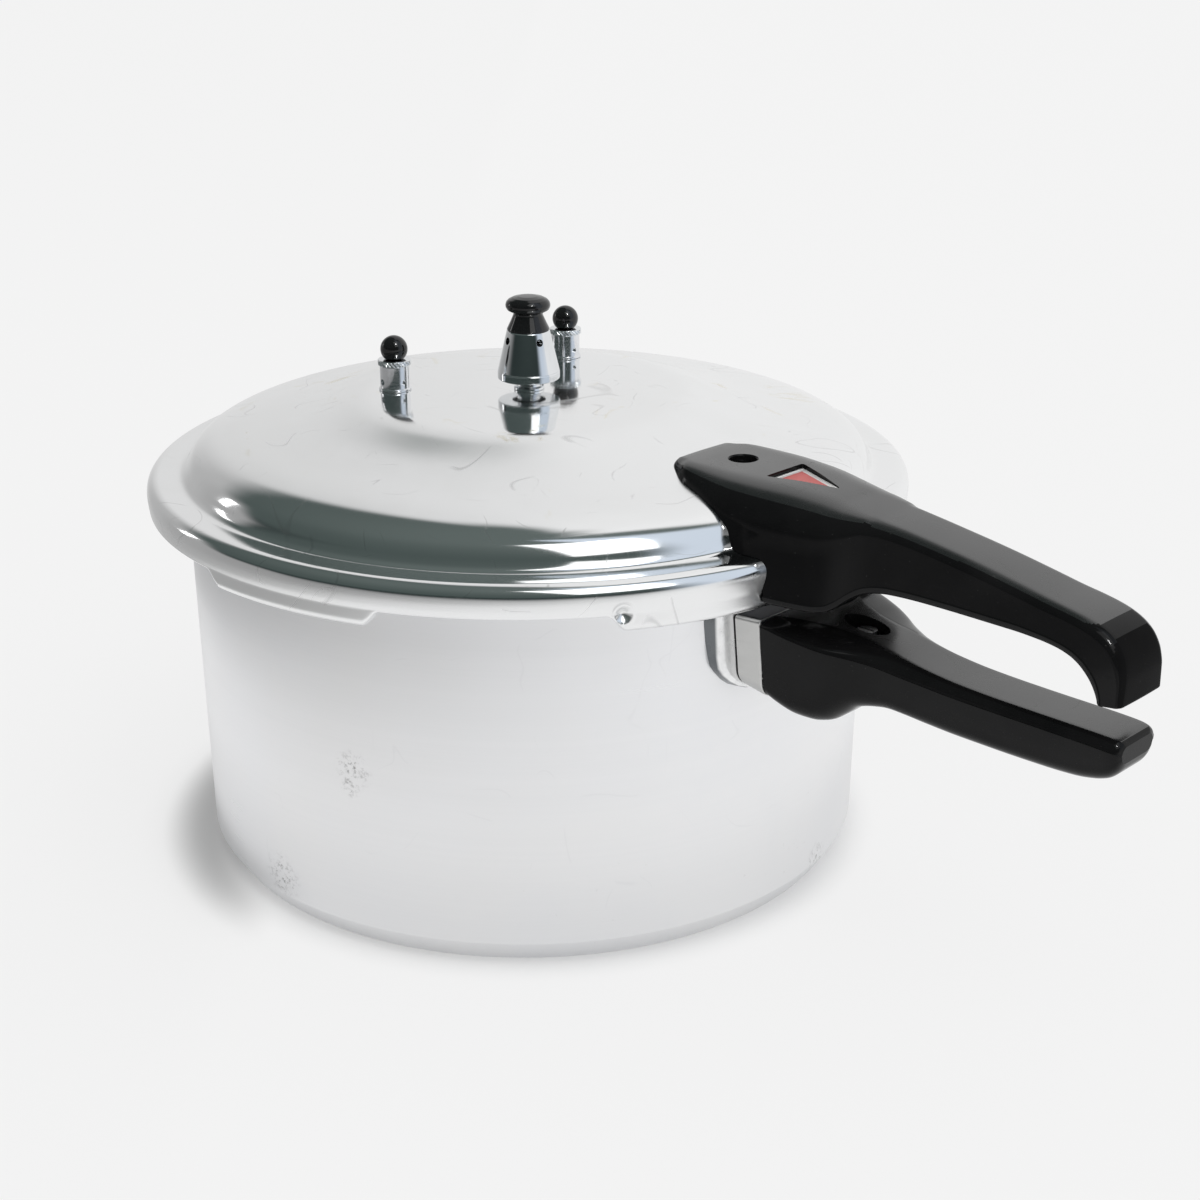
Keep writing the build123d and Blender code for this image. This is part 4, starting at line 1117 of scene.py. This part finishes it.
# painted shade seen only in reflections and bounce light: for rays that are not camera rays, the floor's glow is
# lowered by 16% within 0.19 m of the pot axis, fading out by 0.26 m
painted_reflection_shade = t.math("SUBTRACT", 1.0, t.math("MULTIPLY", seen, t.rng(fr_, 0.19, 0.26, 0.16, 0.0)))
t.put(mx.inputs[0], t.math("ADD", t.math("ADD", t.math("MULTIPLY", left, t.rng(fr_, 0.150, 0.196, 0.30, 0.80)), t.math("MULTIPLY", t.math("SUBTRACT", 1.0, left), open_)), t.rng(fr_, 0.3, 1.2, 0.0, 0.07)))
# painted contact shadow: the floor's glow is cut by up to 96% in a thin band just left of the pot base
painted_contact_shadow = t.math("MULTIPLY", left, t.rng(fr_, 0.158, 0.184, 1.0, 0.0))
t.put(em.inputs["Strength"], t.math("MULTIPLY", painted_reflection_shade, t.math("SUBTRACT", 1.0, t.math("MULTIPLY", painted_contact_shadow, 0.96))))
t.t.links.new(dif.outputs[0], mx.inputs[1])
t.t.links.new(em.outputs[0], mx.inputs[2])
t.t.links.new(mx.outputs[0], out.inputs[0])
floor.data.materials.append(fm)
floor_near.data.materials.append(fm)

world = bpy.data.worlds.new("studio")
bpy.context.scene.world = world
world.use_nodes = True
t = NT(world.node_tree)
out = t.new("ShaderNodeOutputWorld")
bg = t.new("ShaderNodeBackground")
t.t.links.new(bg.outputs[0], out.inputs[0])
d = t.new("ShaderNodeTexCoord").outputs["Generated"]
back = t.vmath("DOT_PRODUCT", d, tuple(FWD))
side = t.vmath("DOT_PRODUCT", d, tuple(RGT))
elev = t.math("ARCSINE", t.sep(d)[2])
azim = t.math("ARCTAN2", side, back)                     # 0 behind the object, + to the right


def ring_ramp(fac, table):
    """Value round the horizon from (degrees, value) pairs, -180 to 180."""
    n = t.new("ShaderNodeValToRGB")
    n.color_ramp.interpolation = "EASE"
    el = n.color_ramp.elements
    while len(el) > 1:
        el.remove(el[-1])
    el[0].position = 0.0
    el[0].color = rgb(*[table[0][1]] * 3)
    for a, v in table[1:]:
        e = el.new((a + 180.0) / 360.0)
        e.color = rgb(v, v, v)
    t.put(n.inputs[0], fac)
    return n.outputs[0]


turn = t.rng(azim, -pi, pi, 0.0, 1.0, False)
low = ring_ramp(turn, [(-180, 0.58), (-150, 0.42), (-118, 0.33), (-90, 0.33), (-62, 0.38), (-40, 0.46), (-15, 0.74), (10, 0.86), (60, 0.92), (130, 0.92), (158, 0.74), (180, 0.58)])
top = ring_ramp(turn, [(-180, 0.02), (-150, 0.03), (-118, 0.06), (-90, 0.12), (-62, 0.32), (-30, 0.42), (-12, 0.68), (12, 0.86), (45, 0.93), (75, 0.62), (105, 0.10), (130, 0.05), (158, 0.03), (180, 0.02)])
top = t.math("SUBTRACT", t.math("MULTIPLY", top, radians(90.0)), radians(3.0))
m_low = t.rng(elev, t.math("ADD", top, radians(6.0)), t.math("SUBTRACT", top, radians(8.0)))
dark = t.mix(t.rng(elev, 0.35, 1.4), rgb(0.070, 0.090, 0.086), rgb(0.115, 0.140, 0.134))
dark = t.mix(t.rng(elev, 0.12, 0.40), rgb(0.028, 0.038, 0.037), dark)
cool = t.math("MULTIPLY", t.rng(turn, 0.90, 0.84), t.rng(turn, 0.70, 0.76))
dark = t.mix(t.math("MULTIPLY", cool, 0.85), dark, rgb(0.74, 0.82, 0.93))
col = t.mix(m_low, dark, low)
col = t.mix(t.rng(elev, radians(-22.0), radians(-48.0)), col, rgb(0.76, 0.76, 0.77))
lp = t.new("ShaderNodeLightPath")
col = t.mix(lp.outputs["Is Diffuse Ray"], col, rgb(0.95, 0.95, 0.95))
col = t.mix(lp.outputs["Is Camera Ray"], col, rgb(0.896, 0.896, 0.896))
t.put(bg.inputs[0], col)
floor.visible_glossy = False


def softbox(name, pos, target, w, h, radiance, colour=(1, 1, 1)):
    L = bpy.data.lights.new(name, "AREA")
    L.shape = "RECTANGLE"
    L.size, L.size_y = w, h
    L.energy = radiance * pi * w * h
    L.color = colour
    o = bpy.data.objects.new(name, L)
    o.location = pos
    o.rotation_mode = "QUATERNION"
    o.rotation_quaternion = (Vector(target) - Vector(pos)).to_track_quat("-Z", "Y")
    bpy.context.scene.collection.objects.link(o)
    return o


ctr = Vector((0.0, 0.0, 0.15))
softbox("key_front_right", ctr - FWD * 1.07 + RGT * 0.62 + Vector((0, 0, 1.58)), ctr, 0.95, 1.55, 1.28)
core = softbox("key_core", ctr + (Vector((0, 0, 1.58)) - FWD * 1.07 + RGT * 0.62) * 0.94, ctr, 0.055, 0.34, 170.0)
core.visible_diffuse = False
softbox("strip_left", ctr + FWD * 0.72 - RGT * 1.8 + Vector((0, 0, 0.50)), ctr, 0.16, 0.45, 2.5)
